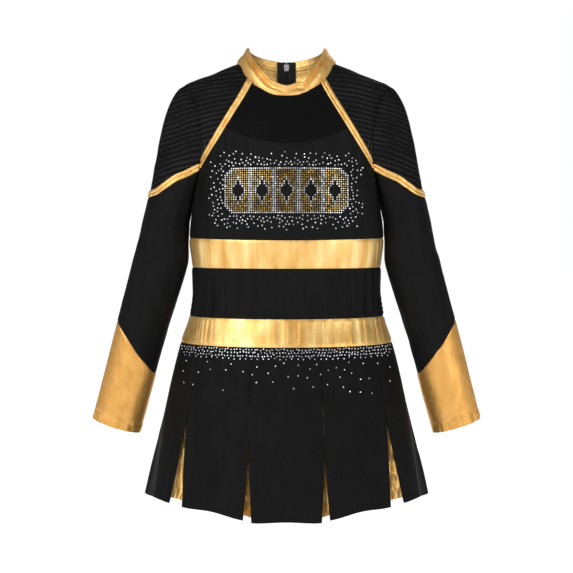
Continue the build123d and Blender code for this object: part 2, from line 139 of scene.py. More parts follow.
# The collar's upper and lower edge: angle, height.
COLLAR_TOP = [(0, -26), (14, -20), (31, -2), (42, 12), (55, 24), (66, 30)]
COLLAR_TOP += [(80, 32.8), (103, 32.6), (131, 29.3), (180, 23)]
COLLAR_BASE = [(0, -39.7), (14, -38.3), (28, -32.5), (49, -17), (66, -1)]
COLLAR_BASE += [(90, 8), (110, 3), (135, -4), (180, -9)]
LIP_FOLD = (20.0, 4.5, 5.5)  # the lip's one slack place: angle, half width in degrees, drop

# Skirt: panel edges at the waist and at the hem, and the height where each pleat opens.
PLEATS = [(17.9, 13.0, 16.1, -506.0), (54.6, 44.2, 51.8, -462.0), (90.0, 86.8, 93.2, -470.0)]

MOTIF_MIDDLE, MOTIF_HALF_WIDTH, MOTIF_HALF_HEIGHT, MOTIF_CHAMFER = -166.5, 81.0, 30.0, 10.0
STONE_PITCH = 2.9


# ---------------------------------------------------------------- lines and surfaces


def smooth_line(points):
    """A monotone cubic through the points, as a function of arrays; level beyond its ends."""
    x, y = (np.array(values, float) for values in zip(*sorted(points)))
    step = np.diff(x)
    slope = np.diff(y) / step
    before, after, total = slope[:-1], slope[1:], step[:-1] + step[1:]
    with np.errstate(divide="ignore", invalid="ignore"):
        mean = 3 * total / ((total + step[1:]) / before + (total + step[:-1]) / after)
    tangent = np.concatenate([slope[:1], np.where(before * after > 0, mean, 0), slope[-1:]])

    def value(at):
        at = np.clip(at, x[0], x[-1])
        i = np.clip(np.searchsorted(x, at) - 1, 0, len(step) - 1)
        t = (at - x[i]) / step[i]
        low = y[i] * (1 + 2 * t) * (1 - t) ** 2 + step[i] * tangent[i] * t * (1 - t) ** 2
        high = y[i + 1] * t * t * (3 - 2 * t) + step[i] * tangent[i + 1] * t * t * (t - 1)
        return low + high

    return value


def columns_of(rows, *places):
    """Two columns of a table as points."""
    return [tuple(row[place] for place in places) for row in rows]


def both_ways(points):
    """A line of points from the front middle, with its mirror image."""
    return points + [(-x, y) for x, y in points if x > 0]


half_width = smooth_line(columns_of(LEVELS, 0, 1))
half_depth = smooth_line(columns_of(LEVELS, 0, 2))
raglan_x = smooth_line([(z, x) for x, z in RAGLAN])
armhole_angle = smooth_line(ARMHOLE)
chevron_z = smooth_line(CHEVRON)
sleeve_width = smooth_line(columns_of(SLEEVE, 0, 1))
sleeve_depth = smooth_line(columns_of(SLEEVE, 0, 2))
collar_width = smooth_line(columns_of(COLLAR, 0, 1))
collar_front = smooth_line(columns_of(COLLAR, 0, 2))
collar_back = smooth_line(columns_of(COLLAR, 0, 3))
collar_top = smooth_line(both_ways(COLLAR_TOP))
collar_base = smooth_line(both_ways(COLLAR_BASE))


def stack(x, y, z):
    return np.stack(np.broadcast_arrays(x, y, z), axis=-1).astype(float)


def body(angle, z):
    """Points of the body's outer face."""
    turn = np.radians(angle)
    tuck = 0.5 * np.maximum(0, z - TUCK_FROM)
    depth = half_depth(z)
    middle = BACK_AT_NECK - BACK_LEAN * z - tuck - depth
    return stack(half_width(z) * np.sin(turn), middle - depth * np.cos(turn), z)


def unit(vectors):
    return vectors / np.maximum(np.linalg.norm(vectors, axis=-1, keepdims=True), 1e-9)


def body_normal(angle, z):
    right = body(angle + 0.2, z) - body(angle - 0.2, z)
    up = body(angle, z + 0.4) - body(angle, z - 0.4)
    return unit(np.cross(right, up))


def grid_normals(points, wrap=False):
    """Outward directions of a grid whose columns go right and rows go up."""
    if wrap:
        around = np.concatenate([points[:, -1:], points, points[:, :1]], axis=1)
        right = around[:, 2:] - around[:, :-2]
    else:
        right = np.gradient(points, axis=1)
    return unit(np.cross(right, np.gradient(points, axis=0)))


def angle_at(x, z):
    """The angle of a front view position."""
    return np.degrees(np.arcsin(np.clip(x / half_width(z), -1, 1)))


def lerp(start, end, share):
    return start + (end - start) * share


def smooth(low, high, value):
    """0 below low, 1 above high, and an even curve between."""
    t = np.clip((value - low) / (high - low), 0, 1)
    return t * t * (3 - 2 * t)


def noise(seed, x, y):
    """Smooth noise from -1 to 1 with cells one unit wide."""
    size = 128
    lattice = np.random.default_rng(seed).uniform(-1, 1, (size, size))
    x, y = np.broadcast_arrays(x, y)
    column, row = np.floor(x).astype(int), np.floor(y).astype(int)
    across, up = x - column, y - row
    across, up = (t * t * t * (t * (t * 6 - 15) + 10) for t in (across, up))
    low = lerp(lattice[column % size, row % size], lattice[(column + 1) % size, row % size], across)
    above = (row + 1) % size
    high = lerp(lattice[column % size, above], lattice[(column + 1) % size, above], across)
    return lerp(low, high, up)


def folds(seed, across, along, width, length):
    """Creases that run along the second coordinate: soft rolls with finer, sharper ones on them."""
    soft = noise(seed, across / width, along / length)
    fine = noise(seed + 1, across / width * 2.3 + soft * 0.4, along / length * 1.6)
    sharp = 1 - 2 * np.abs(noise(seed + 2, across / width * 1.3, along / length * 0.8))
    return 0.6 * soft + 0.3 * fine + 0.3 * sharp**3


def clear_of(distance, width=3.0):
    """0 on a seam, where the cloth is held, and 1 away from it."""
    return 1 - np.exp(-((distance / width) ** 2))


def seam_dip(distance, depth=0.7, width=1.7):
    """Cloth sinks towards a seam."""
    return -depth * np.exp(-((distance / width) ** 2))


# ---------------------------------------------------------------- mesh making


def add_mesh(name, points, faces, materials, face_materials=None, sharp=50):
    """A mesh object from points in millimetres."""
    mesh = bpy.data.meshes.new(name)
    mesh.from_pydata((np.asarray(points) * METRE).tolist(), [], [list(face) for face in faces])
    for material in materials:
        mesh.materials.append(material)
    if face_materials is not None:
        mesh.polygons.foreach_set("material_index", np.asarray(face_materials, np.int32))
    mesh.shade_smooth()
    mesh.set_sharp_from_angle(angle=radians(sharp))
    mesh.update()
    piece = bpy.data.objects.new(name, mesh)
    bpy.context.scene.collection.objects.link(piece)
    return piece


def shell(name, outer, inner, materials, wrap=False):
    """A closed sheet between two grids of points; the second material is its inner side."""
    rows, columns = outer.shape[:2]
    count = rows * columns
    index = np.arange(count).reshape(rows, columns)
    if wrap:
        index = np.concatenate([index, index[:, :1]], axis=1)
    quads = np.stack([index[:-1, :-1], index[:-1, 1:], index[1:, 1:], index[1:, :-1]], -1).reshape(-1, 4)
    border = [index[0], index[-1][::-1]]
    if not wrap:
        border += [index[:, -1], index[:, 0][::-1]]
    rims = [np.stack([e[1:], e[:-1], e[:-1] + count, e[1:] + count], -1) for e in border]
    faces = np.concatenate([quads, quads[:, ::-1] + count, *rims])
    inside = np.zeros(len(faces), int)
    inside[len(quads) : 2 * len(quads)] = len(materials) - 1
    points = np.concatenate([outer.reshape(-1, 3), inner.reshape(-1, 3)])
    return add_mesh(name, points, faces, materials, inside)


def side_of(node):
    return "right" if node.endswith("_right") else "left"


def mirrored(grid):
    return grid[:, ::-1] * np.array([-1, 1, 1])


def hold(piece, rider):
    """rider is a body's name, which the piece is attached to, or a side, for which the piece's placing is
    baked into its mesh.
    """
    if rider in ("left", "right"):
        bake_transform(piece)
    else:
        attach(piece, rider)


def cloth(
    node, base, normals, lift, finish, held="stretched", rider="dress", thick=CLOTH, wrap=False, name=None
):
    """One cut piece of cloth over its base surface, with its creases, standing for its CAD node."""
    slot, *materials = FINISHES[finish]
    thick = np.broadcast_to(thick, lift.shape)[..., None]
    outer = base + normals * lift[..., None]
    inner = outer - normals * thick
    if node.endswith("_right"):
        outer, inner = mirrored(outer), mirrored(inner)
    piece = shell(name or f"{node}_cloth", outer, inner, materials, wrap)
    hold(piece, rider)
    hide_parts(node)
    return piece


def body_cloth(node, angle, z, lift, finish, **more):
    return cloth(node, body(angle, z), body_normal(angle, z), lift, finish, **more)


# ---------------------------------------------------------------- materials


class Shade:
    """A Principled material and its nodes."""

    def __init__(self, name, **inputs):
        self.material = bpy.data.materials.new(name)
        self.material.use_nodes = True
        self.tree = self.material.node_tree
        self.shader = self.tree.nodes["Principled BSDF"]
        for key, value in inputs.items():
            self.shader.inputs[key.replace("_", " ")].default_value = value
        place = self.node("ShaderNodeTexCoord")
        self.place = place.outputs["Object"]

    def node(self, kind, inputs=(), **settings):
        made = self.tree.nodes.new(kind)
        for key, value in settings.items():
            setattr(made, key, value)
        for key, value in dict(inputs).items():
            if isinstance(value, bpy.types.NodeSocket):
                self.tree.links.new(value, made.inputs[key])
            else:
                made.inputs[key].default_value = value
        return made

    def stretched(self, x, y, z):
        """Object coordinates scaled by cells per metre."""
        mapping = self.node("ShaderNodeMapping", {"Vector": self.place, "Scale": (x, y, z)})
        return mapping.outputs["Vector"]

    def cloud(self, vector, detail=3.0, roughness=0.55, scale=1.0):
        values = {"Vector": vector, "Scale": scale, "Detail": detail, "Roughness": roughness}
        return self.node("ShaderNodeTexNoise", values).outputs["Fac"]

    def ramp(self, value, *stops):
        """Colours or greys by value."""
        made = self.node("ShaderNodeValToRGB", {"Fac": value})
        band = made.color_ramp
        while len(band.elements) < len(stops):
            band.elements.new(0.5)
        for element, (position, colour) in zip(band.elements, stops):
            element.position = position
            element.color = (colour,) * 3 + (1,) if isinstance(colour, float) else (*colour, 1)
        return made.outputs["Color"]

    def bump(self, height, strength, distance, before=None):
        values = {"Height": height, "Strength": strength, "Distance": distance}
        if before is not None:
            values["Normal"] = before
        return self.node("ShaderNodeBump", values).outputs["Normal"]

    def set(self, name, socket):
        self.tree.links.new(socket, self.shader.inputs[name])


def knit(shade, across, up, strength, distance, before=None):
    """The loops of a fine knit as bump."""
    loops = {"Vector": shade.stretched(across, across, up), "Scale": 1.0, "Randomness": 0.35}
    cells = shade.node("ShaderNodeTexVoronoi", loops, feature="F1").outputs["Distance"]
    return shade.bump(cells, strength, distance, before)


def gold_foil(name, cells, dark, middle, light):
    """Foil printed on stretch knit: metallic, with painted highlights and painted shade in streaks and
    patches of its colour, a little crazed.
    """
    shade = Shade(name, Metallic=0.74, Specular_IOR_Level=0.6)
    # Painted highlight and painted shade: the ramp's dark, middle and light tones stand for shade and light
    # on creases, laid on as patches.
    patches = shade.cloud(shade.stretched(*cells), detail=2.5, roughness=0.5)
    shade.set("Base Color", shade.ramp(patches, (0.30, dark), (0.50, middle), (0.72, light)))
    grain = shade.cloud(shade.stretched(330, 330, 210), detail=4.0)
    shade.set("Roughness", shade.ramp(grain, (0.3, 0.35), (0.7, 0.50)))
    crazing = shade.bump(grain, 0.22, 0.0006)
    shade.set("Normal", knit(shade, 900, 1250, 0.18, 0.0003, crazing))
    return shade.material


def black_stretch(name, tone):
    """Matte stretch knit."""
    shade = Shade(name, Roughness=0.62, Specular_IOR_Level=0.07)
    patches = shade.cloud(shade.stretched(60, 60, 20), detail=4.0)
    shade.set("Base Color", shade.ramp(patches, (0.3, tone * 0.82), (0.7, tone * 1.18)))
    weave = shade.cloud(shade.stretched(1500, 1500, 420), detail=2.0)
    ribs = shade.bump(weave, 0.25, 0.0004)
    shade.set("Normal", knit(shade, 1000, 1350, 0.3, 0.0003, ribs))
    return shade.material


RING_CENTRE = (0, 0, 36)  # in the stretched space below


def power_mesh(name, alpha, tone, glint):
    """Sheer net: what is behind shows faintly, with the drifting bands of two nets together."""
    shade = Shade(name, Roughness=0.7, Specular_IOR_Level=0.05, Alpha=alpha)
    space = {"Vector": shade.place, "Location": RING_CENTRE, "Scale": (70, 20, 100)}
    centre = shade.node("ShaderNodeMapping", space)
    rings = {"Vector": centre.outputs["Vector"], "Scale": 0.5, "Distortion": 6.0}
    rings.update({"Detail": 2.0, "Detail Scale": 0.35})
    kind = {"wave_type": "RINGS", "rings_direction": "Y"}
    wave = shade.node("ShaderNodeTexWave", rings, **kind).outputs["Fac"]
    patches = shade.cloud(shade.stretched(24, 24, 24), detail=2.0)
    faint = shade.node("ShaderNodeMath", {0: wave, 1: patches}, operation="MULTIPLY").outputs["Value"]
    shade.set("Base Color", shade.ramp(faint, (0.2, tone), (0.6, tone * glint)))
    holes = {"Vector": shade.stretched(820, 820, 950), "Scale": 1.0, "Randomness": 0.15}
    net = shade.node("ShaderNodeTexVoronoi", holes, feature="DISTANCE_TO_EDGE").outputs["Distance"]
    shade.set("Normal", shade.bump(net, 0.5, 0.0004))
    return shade.material


def woven_tape(name):
    """Black herringbone tape."""
    shade = Shade(name, Roughness=0.7, Specular_IOR_Level=0.25)
    lines = {"Vector": shade.stretched(900, 900, 900), "Scale": 0.5, "Distortion": 0.6, "Detail": 1.0}
    twill = shade.node("ShaderNodeTexWave", lines, bands_direction="DIAGONAL").outputs["Fac"]
    shade.set("Base Color", shade.ramp(twill, (0.2, 0.008), (0.8, 0.02)))
    shade.set("Normal", shade.bump(twill, 0.5, 0.0004))
    return shade.material


def coil(name):
    """Black nylon monofilament."""
    shade = Shade(name, Roughness=0.35, Specular_IOR_Level=0.45)
    streaks = shade.cloud(shade.stretched(700, 700, 2000), detail=2.0)
    shade.set("Base Color", shade.ramp(streaks, (0.3, 0.012), (0.7, 0.03)))
    shade.set("Normal", shade.bump(streaks, 0.2, 0.0002))
    return shade.material


def nickel(name):
    """Plated zip metal with fine scratches and duller spots."""
    shade = Shade(name, Metallic=1.0)
    scratches = shade.cloud(shade.stretched(1800, 400, 260), detail=5.0)
    shade.set("Base Color", shade.ramp(scratches, (0.3, (0.50, 0.50, 0.51)), (0.7, (0.74, 0.74, 0.75))))
    shade.set("Roughness", shade.ramp(scratches, (0.3, 0.2), (0.75, 0.38)))
    shade.set("Normal", shade.bump(scratches, 0.12, 0.0002))
    return shade.material


def stone(name, dark, light, metallic):
    """Foil-backed faceted stones; each shows its own share of light and dark."""
    shade = Shade(name, Metallic=metallic, Roughness=0.14, Coat_Weight=0.6, Coat_Roughness=0.04)
    spots = {"Vector": shade.place, "Scale": 640.0}
    cells = shade.node("ShaderNodeTexVoronoi", spots, feature="F1").outputs["Color"]
    value = shade.node("ShaderNodeRGBToBW", {"Color": cells}).outputs["Val"]
    shade.set("Base Color", shade.ramp(value, (0.25, dark), (0.75, light)))
    shade.set("Roughness", shade.ramp(value, (0.2, 0.1), (0.8, 0.22)))
    return shade.material


def thread_finish(name, dark, light):
    """Twisted sewing thread."""
    shade = Shade(name, Roughness=0.55, Specular_IOR_Level=0.35)
    twist = shade.cloud(shade.stretched(2400, 2400, 2400), detail=2.0)
    shade.set("Base Color", shade.ramp(twist, (0.3, dark), (0.7, light)))
    shade.set("Normal", shade.bump(twist, 0.4, 0.0002))
    return shade.material


# Cell sizes of the painted highlight and painted shade: tall upright streaks for the bands, even patches for
# the rest.
PAINTED_STREAK_CELLS, PAINTED_PATCH_CELLS = (62, 62, 4), (90, 90, 60)
# The bands' dark and light tones are painted crease shade and painted crease highlights.
BAND_FOIL_PAINTED_STREAKS = gold_foil("gold_foil_band_painted_streaks", PAINTED_STREAK_CELLS, (0.70, 0.38, 0.095), (0.86, 0.54, 0.18), (0.97, 0.74, 0.34))
FOIL = gold_foil("gold_foil_plain", PAINTED_PATCH_CELLS, (0.68, 0.36, 0.09), (0.83, 0.50, 0.155), (0.93, 0.62, 0.23))
# The cuffs' foil is a darker copy of the same gold with low contrast: painted shade.
SHADED_CUFF_FOIL = gold_foil("gold_foil_cuff_painted_shade", PAINTED_PATCH_CELLS, (0.68, 0.345, 0.08), (0.74, 0.385, 0.095), (0.80, 0.43, 0.115))
FOIL_BACK = gold_foil("gold_foil_reverse", PAINTED_PATCH_CELLS, (0.68, 0.40, 0.11), (0.80, 0.50, 0.16), (0.90, 0.60, 0.22))
BLACK = black_stretch("black_stretch_knit", 0.0065)
BLACK_BACK = black_stretch("black_stretch_reverse", 0.004)
MESH = power_mesh("black_power_mesh", 0.76, 0.0035, 5.5)
YOKE_MESH = power_mesh("black_yoke_mesh", 0.93, 0.004, 1.3)
TAPE = woven_tape("zip_tape_weave")
COIL = coil("zip_coil_nylon")
NICKEL = nickel("zip_nickel")
GOLD_STONE = stone("gold_stone", (0.24, 0.16, 0.05), (0.60, 0.43, 0.16), 0.85)
CRYSTAL = stone("clear_stone", (0.42, 0.44, 0.47), (0.98, 0.98, 1.0), 0.55)
GOLD_THREAD = thread_finish("gold_thread", (0.50, 0.29, 0.09), (0.80, 0.52, 0.20))
FINISHES = {
    "band": ("gold_foil", BAND_FOIL_PAINTED_STREAKS, FOIL_BACK),
    "foil": ("gold_foil", FOIL, FOIL_BACK),
    "cuff": ("gold_foil", SHADED_CUFF_FOIL, FOIL_BACK),
    "black": ("black_stretch", BLACK, BLACK_BACK),
    "mesh": ("black_mesh", MESH, MESH),
    "yoke": ("black_mesh", YOKE_MESH, YOKE_MESH),
    "tape": ("zip_tape", TAPE, TAPE),
}

# ---------------------------------------------------------------- creases of the body panels


def band_lift(angle, z, low, high, seed):
    """A foil band: upright creases that run seam to seam, and a faint puff between its seams."""
    across = angle * half_width(z) * pi / 180
    creases = folds(seed, across, z, 8.5, 110.0)
    patches = smooth(-0.5, 0.6, noise(seed + 7, across / 34, z / 60))
    flat = 0.3 + 0.7 * patches
    free = clear_of(z - low) * clear_of(high - z)
    return 0.6 + 1.05 * creases * flat * free + seam_dip(z - low) + seam_dip(high - z)


def upper_seam(angle):
    """The seam above the upper band rises a little towards the side seams."""
    return UPPER_BAND[1] + 1.5 + 3.0 * np.sin(np.radians(angle)) ** 2


def waist_lift(angle, z, seed):
    """The waist: gathers above the lower band that fade upwards."""
    low, high = LOWER_BAND[1], UPPER_BAND[0]
    across = angle * half_width(z) * pi / 180
    gathers = folds(seed, across, z, 9.0, 120.0) * (0.6 + 0.7 * smooth(high - 5, low, z))
    free = clear_of(z - low) * clear_of(high - z)
    return 0.6 + 2.6 * gathers * free + seam_dip(z - low) + seam_dip(high - z)


def scoop_z(angle):
    """The scoop seam's height; an arc through both corners and the lowest point."""
    rise = SCOOP_CORNER[1] - SCOOP_DEPTH
    radius = (SCOOP_CORNER[0] ** 2 + rise**2) / (2 * rise)
    z = np.full_like(np.asarray(angle, float), SCOOP_DEPTH)
    for _ in range(4):
        x = half_width(z) * np.sin(np.radians(angle))
        z = SCOOP_DEPTH + radius - np.sqrt(np.maximum(radius**2 - x**2, 0))
    return z


def raglan_angle(z):
    return angle_at(raglan_x(z), z)


heights = np.linspace(RAGLAN[-1][1], -60, 200)
raglan_angles = raglan_angle(heights)


def bodice_top(angle):
    """The bodice's upper edge: scoop, raglan seam, then the foot of the armhole."""
    a = np.abs(angle)
    seam = np.interp(a, raglan_angles[::-1], heights[::-1])
    foot_heights = np.linspace(-136, RAGLAN[-1][1], 60)
    foot = np.interp(a, armhole_angle(foot_heights)[::-1], foot_heights[::-1])
    return np.where(a < SCOOP_ANGLE, scoop_z(a), np.where(a > 70, np.minimum(seam, foot), seam))


corner_heights = np.linspace(-95, -60, 400)
corner_angles = raglan_angle(corner_heights)
SCOOP_ANGLE = float(corner_angles[np.argmin(np.abs(scoop_z(corner_angles) - corner_heights))])
SCOOP_EDGE_Z = float(scoop_z(SCOOP_ANGLE))


def motif_calm(x, z):
    """1 where the stones stiffen the cloth."""
    beside = smooth(MOTIF_HALF_WIDTH + 22, MOTIF_HALF_WIDTH - 4, np.abs(x))
    return beside * smooth(MOTIF_HALF_HEIGHT + 22, MOTIF_HALF_HEIGHT - 4, np.abs(z - MOTIF_MIDDLE))


def bodice_lift(angle, z):
    """Soft upright folds below the scoop, calm under the motif, hollow beside the armholes."""
    across = angle * half_width(z) * pi / 180
    top = bodice_top(angle)
    under_scoop = np.exp(-np.maximum(top - z, 0) / 26)
    strength = 1.0 + 2.4 * under_scoop
    soft = folds(41, across, z, 13.0, 120.0) * strength
    corner = -1.6 * np.exp(-(((np.abs(angle) - SCOOP_ANGLE - 1.5) / 1.6) ** 2)) * smooth(-150, -85, z)
    x = half_width(z) * np.sin(np.radians(angle))
    calm = (1 - 0.85 * motif_calm(x, z)) * smooth(2, 18, top - z) * clear_of(z - upper_seam(angle))
    return 0.6 + soft * calm + corner + seam_dip(z - upper_seam(angle)) + 0.6 * seam_dip(top - z)


def skirt_edges(z, pleat):
    """The two panel edges beside a pleat at height z; they part below the pleat's top."""
    top, low_edge, high_edge, opens = PLEATS[pleat]
    share = np.clip((opens - z) / (opens - HEM), 0, 1)
    middle = (low_edge + high_edge) / 2
    line = lerp(top, middle, (LOWER_BAND[0] - z) / (LOWER_BAND[0] - HEM))
    gap = (high_edge - low_edge) / 2 * share**1.15
    return line - gap - 0.05, line + gap + 0.05


hem_rise = smooth_line([(0, 0), (13, 1), (16, 3), (44, 10), (52, 11), (87, 5), (90, 5)])


def risen(angle, z):
    """Heights on the skirt, with the hem higher towards the sides."""
    from_middle = np.abs((angle + 90) % 180 - 90)
    return z + hem_rise(from_middle) * smooth(HEM + 160, HEM, z)


def skirt_waves(angle, z):
    """Slow waves that grow towards the hem, the same left and right."""
    across = np.abs(angle) * half_width(z) * pi / 180
    return noise(327, across / 42, z / 170) * 3.2 * smooth(LOWER_BAND[0], HEM, z)


def skirt_lift(angle, z, seed):
    across = angle * half_width(z) * pi / 180
    down = smooth(LOWER_BAND[0], HEM, z)
    creases = folds(seed + 3, across, z, 15.0, 150.0) * (0.35 + 0.5 * down)
    return 0.4 + skirt_waves(angle, z) + creases + seam_dip(LOWER_BAND[0] - z, 0.9, 2.2)


def evenly(low, high, step):
    return np.linspace(low, high, max(int(abs(high - low) / step) + 1, 3))


def torso_piece(node, low, high, lift, finish, step):
    """A ring piece: the front from side seam to side seam, or a back piece up to the zip."""
    z = evenly(low, high(0.0), step)[:, None]
    if node.endswith("_front"):
        angle = evenly(-90, 90, step * 0.43)[None, :] + 0 * z
        end_gap = 90 - np.abs(angle)
    else:
        edge = 180 - np.degrees(ZIP_OPENING / half_width(z))
        angle = lerp(90, edge, np.linspace(0, 1, int(190 / step))[None, :])
        end_gap = np.minimum(angle - 90, edge - angle)
    z = low + (z - low) * (high(angle) - low) / (high(0.0) - low)
    return body_cloth(node, angle, z, lift(angle, z) + seam_dip(end_gap * 2.3, 0.5), finish)


def level(z):
    return lambda angle: z + 0 * angle


def band_creases(seed, low, high):
    return lambda angle, z: band_lift(angle, z, low, high(angle), seed)


for place, seed in (("front", 11), ("back_left", 23), ("back_right", 31)):
    low, high = UPPER_BAND[0], upper_seam
    torso_piece(f"upper_band_{place}", low, high, band_creases(seed, low, high), "band", 1.2)
    low, high = LOWER_BAND[0], level(LOWER_BAND[1])
    torso_piece(f"lower_band_{place}", low, high, band_creases(seed + 60, low, high), "band", 1.2)
    low, high = LOWER_BAND[1], level(UPPER_BAND[0])
    torso_piece(f"waist_panel_{place}", low, high, lambda a, z: waist_lift(a, z, seed + 90), "black", 1.6)


def bodice_piece(node, angle):
    """A bodice piece over the given columns; its rows run from the upper band to its upper edge."""
    front = np.where(angle > 90, 180 - angle, angle)
    rows = np.linspace(0, 1, 110)[:, None]
    z = lerp(upper_seam(angle)[None, :], bodice_top(front)[None, :], rows)
    wide = angle[None, :] + 0 * z
    body_cloth(node, wide, z, bodice_lift(front[None, :] + 0 * z, z), "black")


bodice_piece("front_bodice", np.linspace(-90, 90, 321))
for side in ("left", "right"):
    bodice_piece(f"back_bodice_{side}", np.linspace(90, 180 - np.degrees(ZIP_OPENING / 130), 150))

# ---------------------------------------------------------------- yokes, shoulders, raglan bindings
YOKE_UNDERLAP = 4.0
RAGLAN_TOP_FRONT, RAGLAN_TOP_BACK = -15.0, -4.0
SHOULDER_OVERLAP = -0.03  # share of its width by which the shoulder mesh laps over the sleeve cap


def yoke(node, across, back):
    """The mesh between the raglan seams, from the scoop up to the collar."""
    top = RAGLAN_TOP_BACK if back else RAGLAN_TOP_FRONT
    rows = np.linspace(0, 1, 60)[:, None]
    foot = scoop_z(across * SCOOP_ANGLE) - YOKE_UNDERLAP
    top_angle = raglan_angle(np.array(top)) * across
    from_front = 180 - np.abs(top_angle) * 1.9 if back else np.abs(top_angle) * 2.1
    under_collar = collar_base(from_front) + (1 if back else 3)
    edge_z = lerp(SCOOP_EDGE_Z - YOKE_UNDERLAP, top, rows)
    angle = across[None, :] * raglan_angle(edge_z)
    z = lerp(foot[None, :], np.where(np.abs(across) > 0.97, top, under_collar)[None, :], rows)
    if back:
        angle = 180 - angle[:, ::-1]
        z = z[:, ::-1]
    lift = 0.25 * folds(57, angle * 2.4, z, 16.0, 90.0) - 0.15
    body_cloth(node, angle, z, lift, "yoke", thick=0.6)


yoke("front_yoke_mesh", np.linspace(-1, 1, 121), back=False)
for side in ("left", "right"):
    yoke(f"back_yoke_mesh_{side}", np.linspace(0.085, 1, 61), back=True)


def even_run(angle, z, count):
    """Places along a line on the body, evenly spaced by its real length."""
    steps = np.linalg.norm(np.diff(body(angle, z), axis=0), axis=1)
    run = np.concatenate([[0], np.cumsum(steps)])
    at = np.linspace(0, run[-1], count)
    return np.interp(at, run, angle), np.interp(at, run, z)


def raglan_line(back):
    z = np.linspace(RAGLAN[-1][1], RAGLAN_TOP_BACK if back else RAGLAN_TOP_FRONT, 200)
    angle = raglan_angle(z)
    return (180 - angle if back else angle), z


def armhole(turn):
    """A place on the armhole: turn 0 is the shoulder, pi under the arm, the front comes first."""
    z = ARMHOLE_MIDDLE + ARMHOLE_HALF * np.cos(turn)
    angle = armhole_angle(z)
    return np.where(np.sin(turn) >= 0, angle, 180 - angle), z


# The shoulder mesh's edge under the collar: angle, height.
NECK_EDGE = [(22, -12), (34, -3), (46, 5), (66, 11), (90, 12), (114, 11), (134, 7), (147, 2), (155, -2)]


def shoulder(node):
    """Mesh around the armhole, from the front raglan seam over the shoulder to the back one."""
    columns, rows = 200, 46
    reach = pi - 0.42
    turns = np.linspace(reach, -reach, columns)
    ring_angle, ring_z = even_run(*armhole(turns), columns)
    front_angle, front_z = raglan_line(back=False)
    back_angle, back_z = raglan_line(back=True)
    smooth_base = smooth_line(NECK_EDGE)
    neck_angle = np.linspace(NECK_EDGE[0][0], NECK_EDGE[-1][0], 120)
    outline = (
        np.concatenate([front_angle, neck_angle, back_angle[::-1]]),
        np.concatenate([front_z, smooth_base(neck_angle), back_z[::-1]]),
    )
    edge_angle, edge_z = even_run(*outline, columns)
    share = np.linspace(SHOULDER_OVERLAP, 1, rows)[:, None]
    angle = lerp(ring_angle[None, :], edge_angle[None, :], share)
    z = lerp(ring_z[None, :], edge_z[None, :], share)
    base = body(angle, z)
    drift = 0.5 * noise(71 if side_of(node) == "left" else 72, base[..., 0] / 21, base[..., 2] / 15)
    lift = 0.35 + drift * np.sin(pi * np.maximum(share, 0)) + seam_dip(share * 60, 1.5, 4.5)
    cloth(node, base, grid_normals(base), lift, "mesh", thick=0.6)


def ribbon(node, centre, normals, half, lift_over, seed, rider, crumple, wrap=False):
    """A gold binding: two raised rows with a groove between them, slightly puckered."""
    along = grid_run(centre, wrap)
    run = np.concatenate([[0], np.cumsum(np.linalg.norm(np.diff(centre, axis=0), axis=1))])
    across = np.linspace(-1, 1, 25)[:, None]
    side = unit(np.cross(normals, along))
    base = centre[None] + side[None] * (across * half)[..., None]
    spread = np.broadcast_to(normals[None], base.shape)
    rows = 0.45 + 0.95 * np.abs(np.sin(pi * across)) ** 0.7
    pucker = folds(seed, run[None, :] + across * 1.5, across * half, 3.6, 7.0)
    lift = lift_over + rows * (1 + 0.16 * pucker) + crumple * pucker
    thick = np.minimum(1.1, 0.35 + rows * 0.75)
    return cloth(node, base, spread, lift, "foil", rider=rider, thick=thick, wrap=wrap)


def grid_run(centre, wrap):
    """Directions along a line of points."""
    if wrap:
        around = np.concatenate([centre[-1:], centre, centre[:1]])
        return unit(around[2:] - around[:-2])
    return unit(np.gradient(centre, axis=0))


def raglan_binding(node, back):
    z = np.linspace(RAGLAN[-1][1] - 4, RAGLAN_TOP_BACK + 4 if back else RAGLAN_TOP_FRONT + 1, 200)
    angle = raglan_angle(z)
    angle, z = even_run(180 - angle if back else angle, z, 130)
    if back:
        angle, z = angle[::-1], z[::-1]
    ribbon(node, body(angle, z), body_normal(angle, z), RAGLAN_HALF, 0.2, 81, "dress", 0.22)


for side in ("left", "right"):
    shoulder(f"shoulder_mesh_{side}")
    raglan_binding(f"raglan_trim_front_{side}", back=False)
    raglan_binding(f"raglan_trim_back_{side}", back=True)

# ---------------------------------------------------------------- sleeves
TURNS = 120
THREAD_ROWS = 420
CUFF_SLANT = 3.5  # the hem is this much higher at the outer edge
SLEEVE_RADIUS = 34.0
BINDING_HALF = 4.7


def sleeve_tube(turn, distance):
    """The hanging sleeve: turn 0 is its outer edge, pi its inner edge, the front comes first."""
    width, depth = sleeve_width(distance), sleeve_depth(distance)
    inward = (width / 2 * (1 - np.cos(turn)))[..., None] * ACROSS
    forward = (depth * np.sin(turn))[..., None] * np.array([0, -1, 0])
    return SHOULDER_TIP + distance[..., None] * ALONG + inward + forward


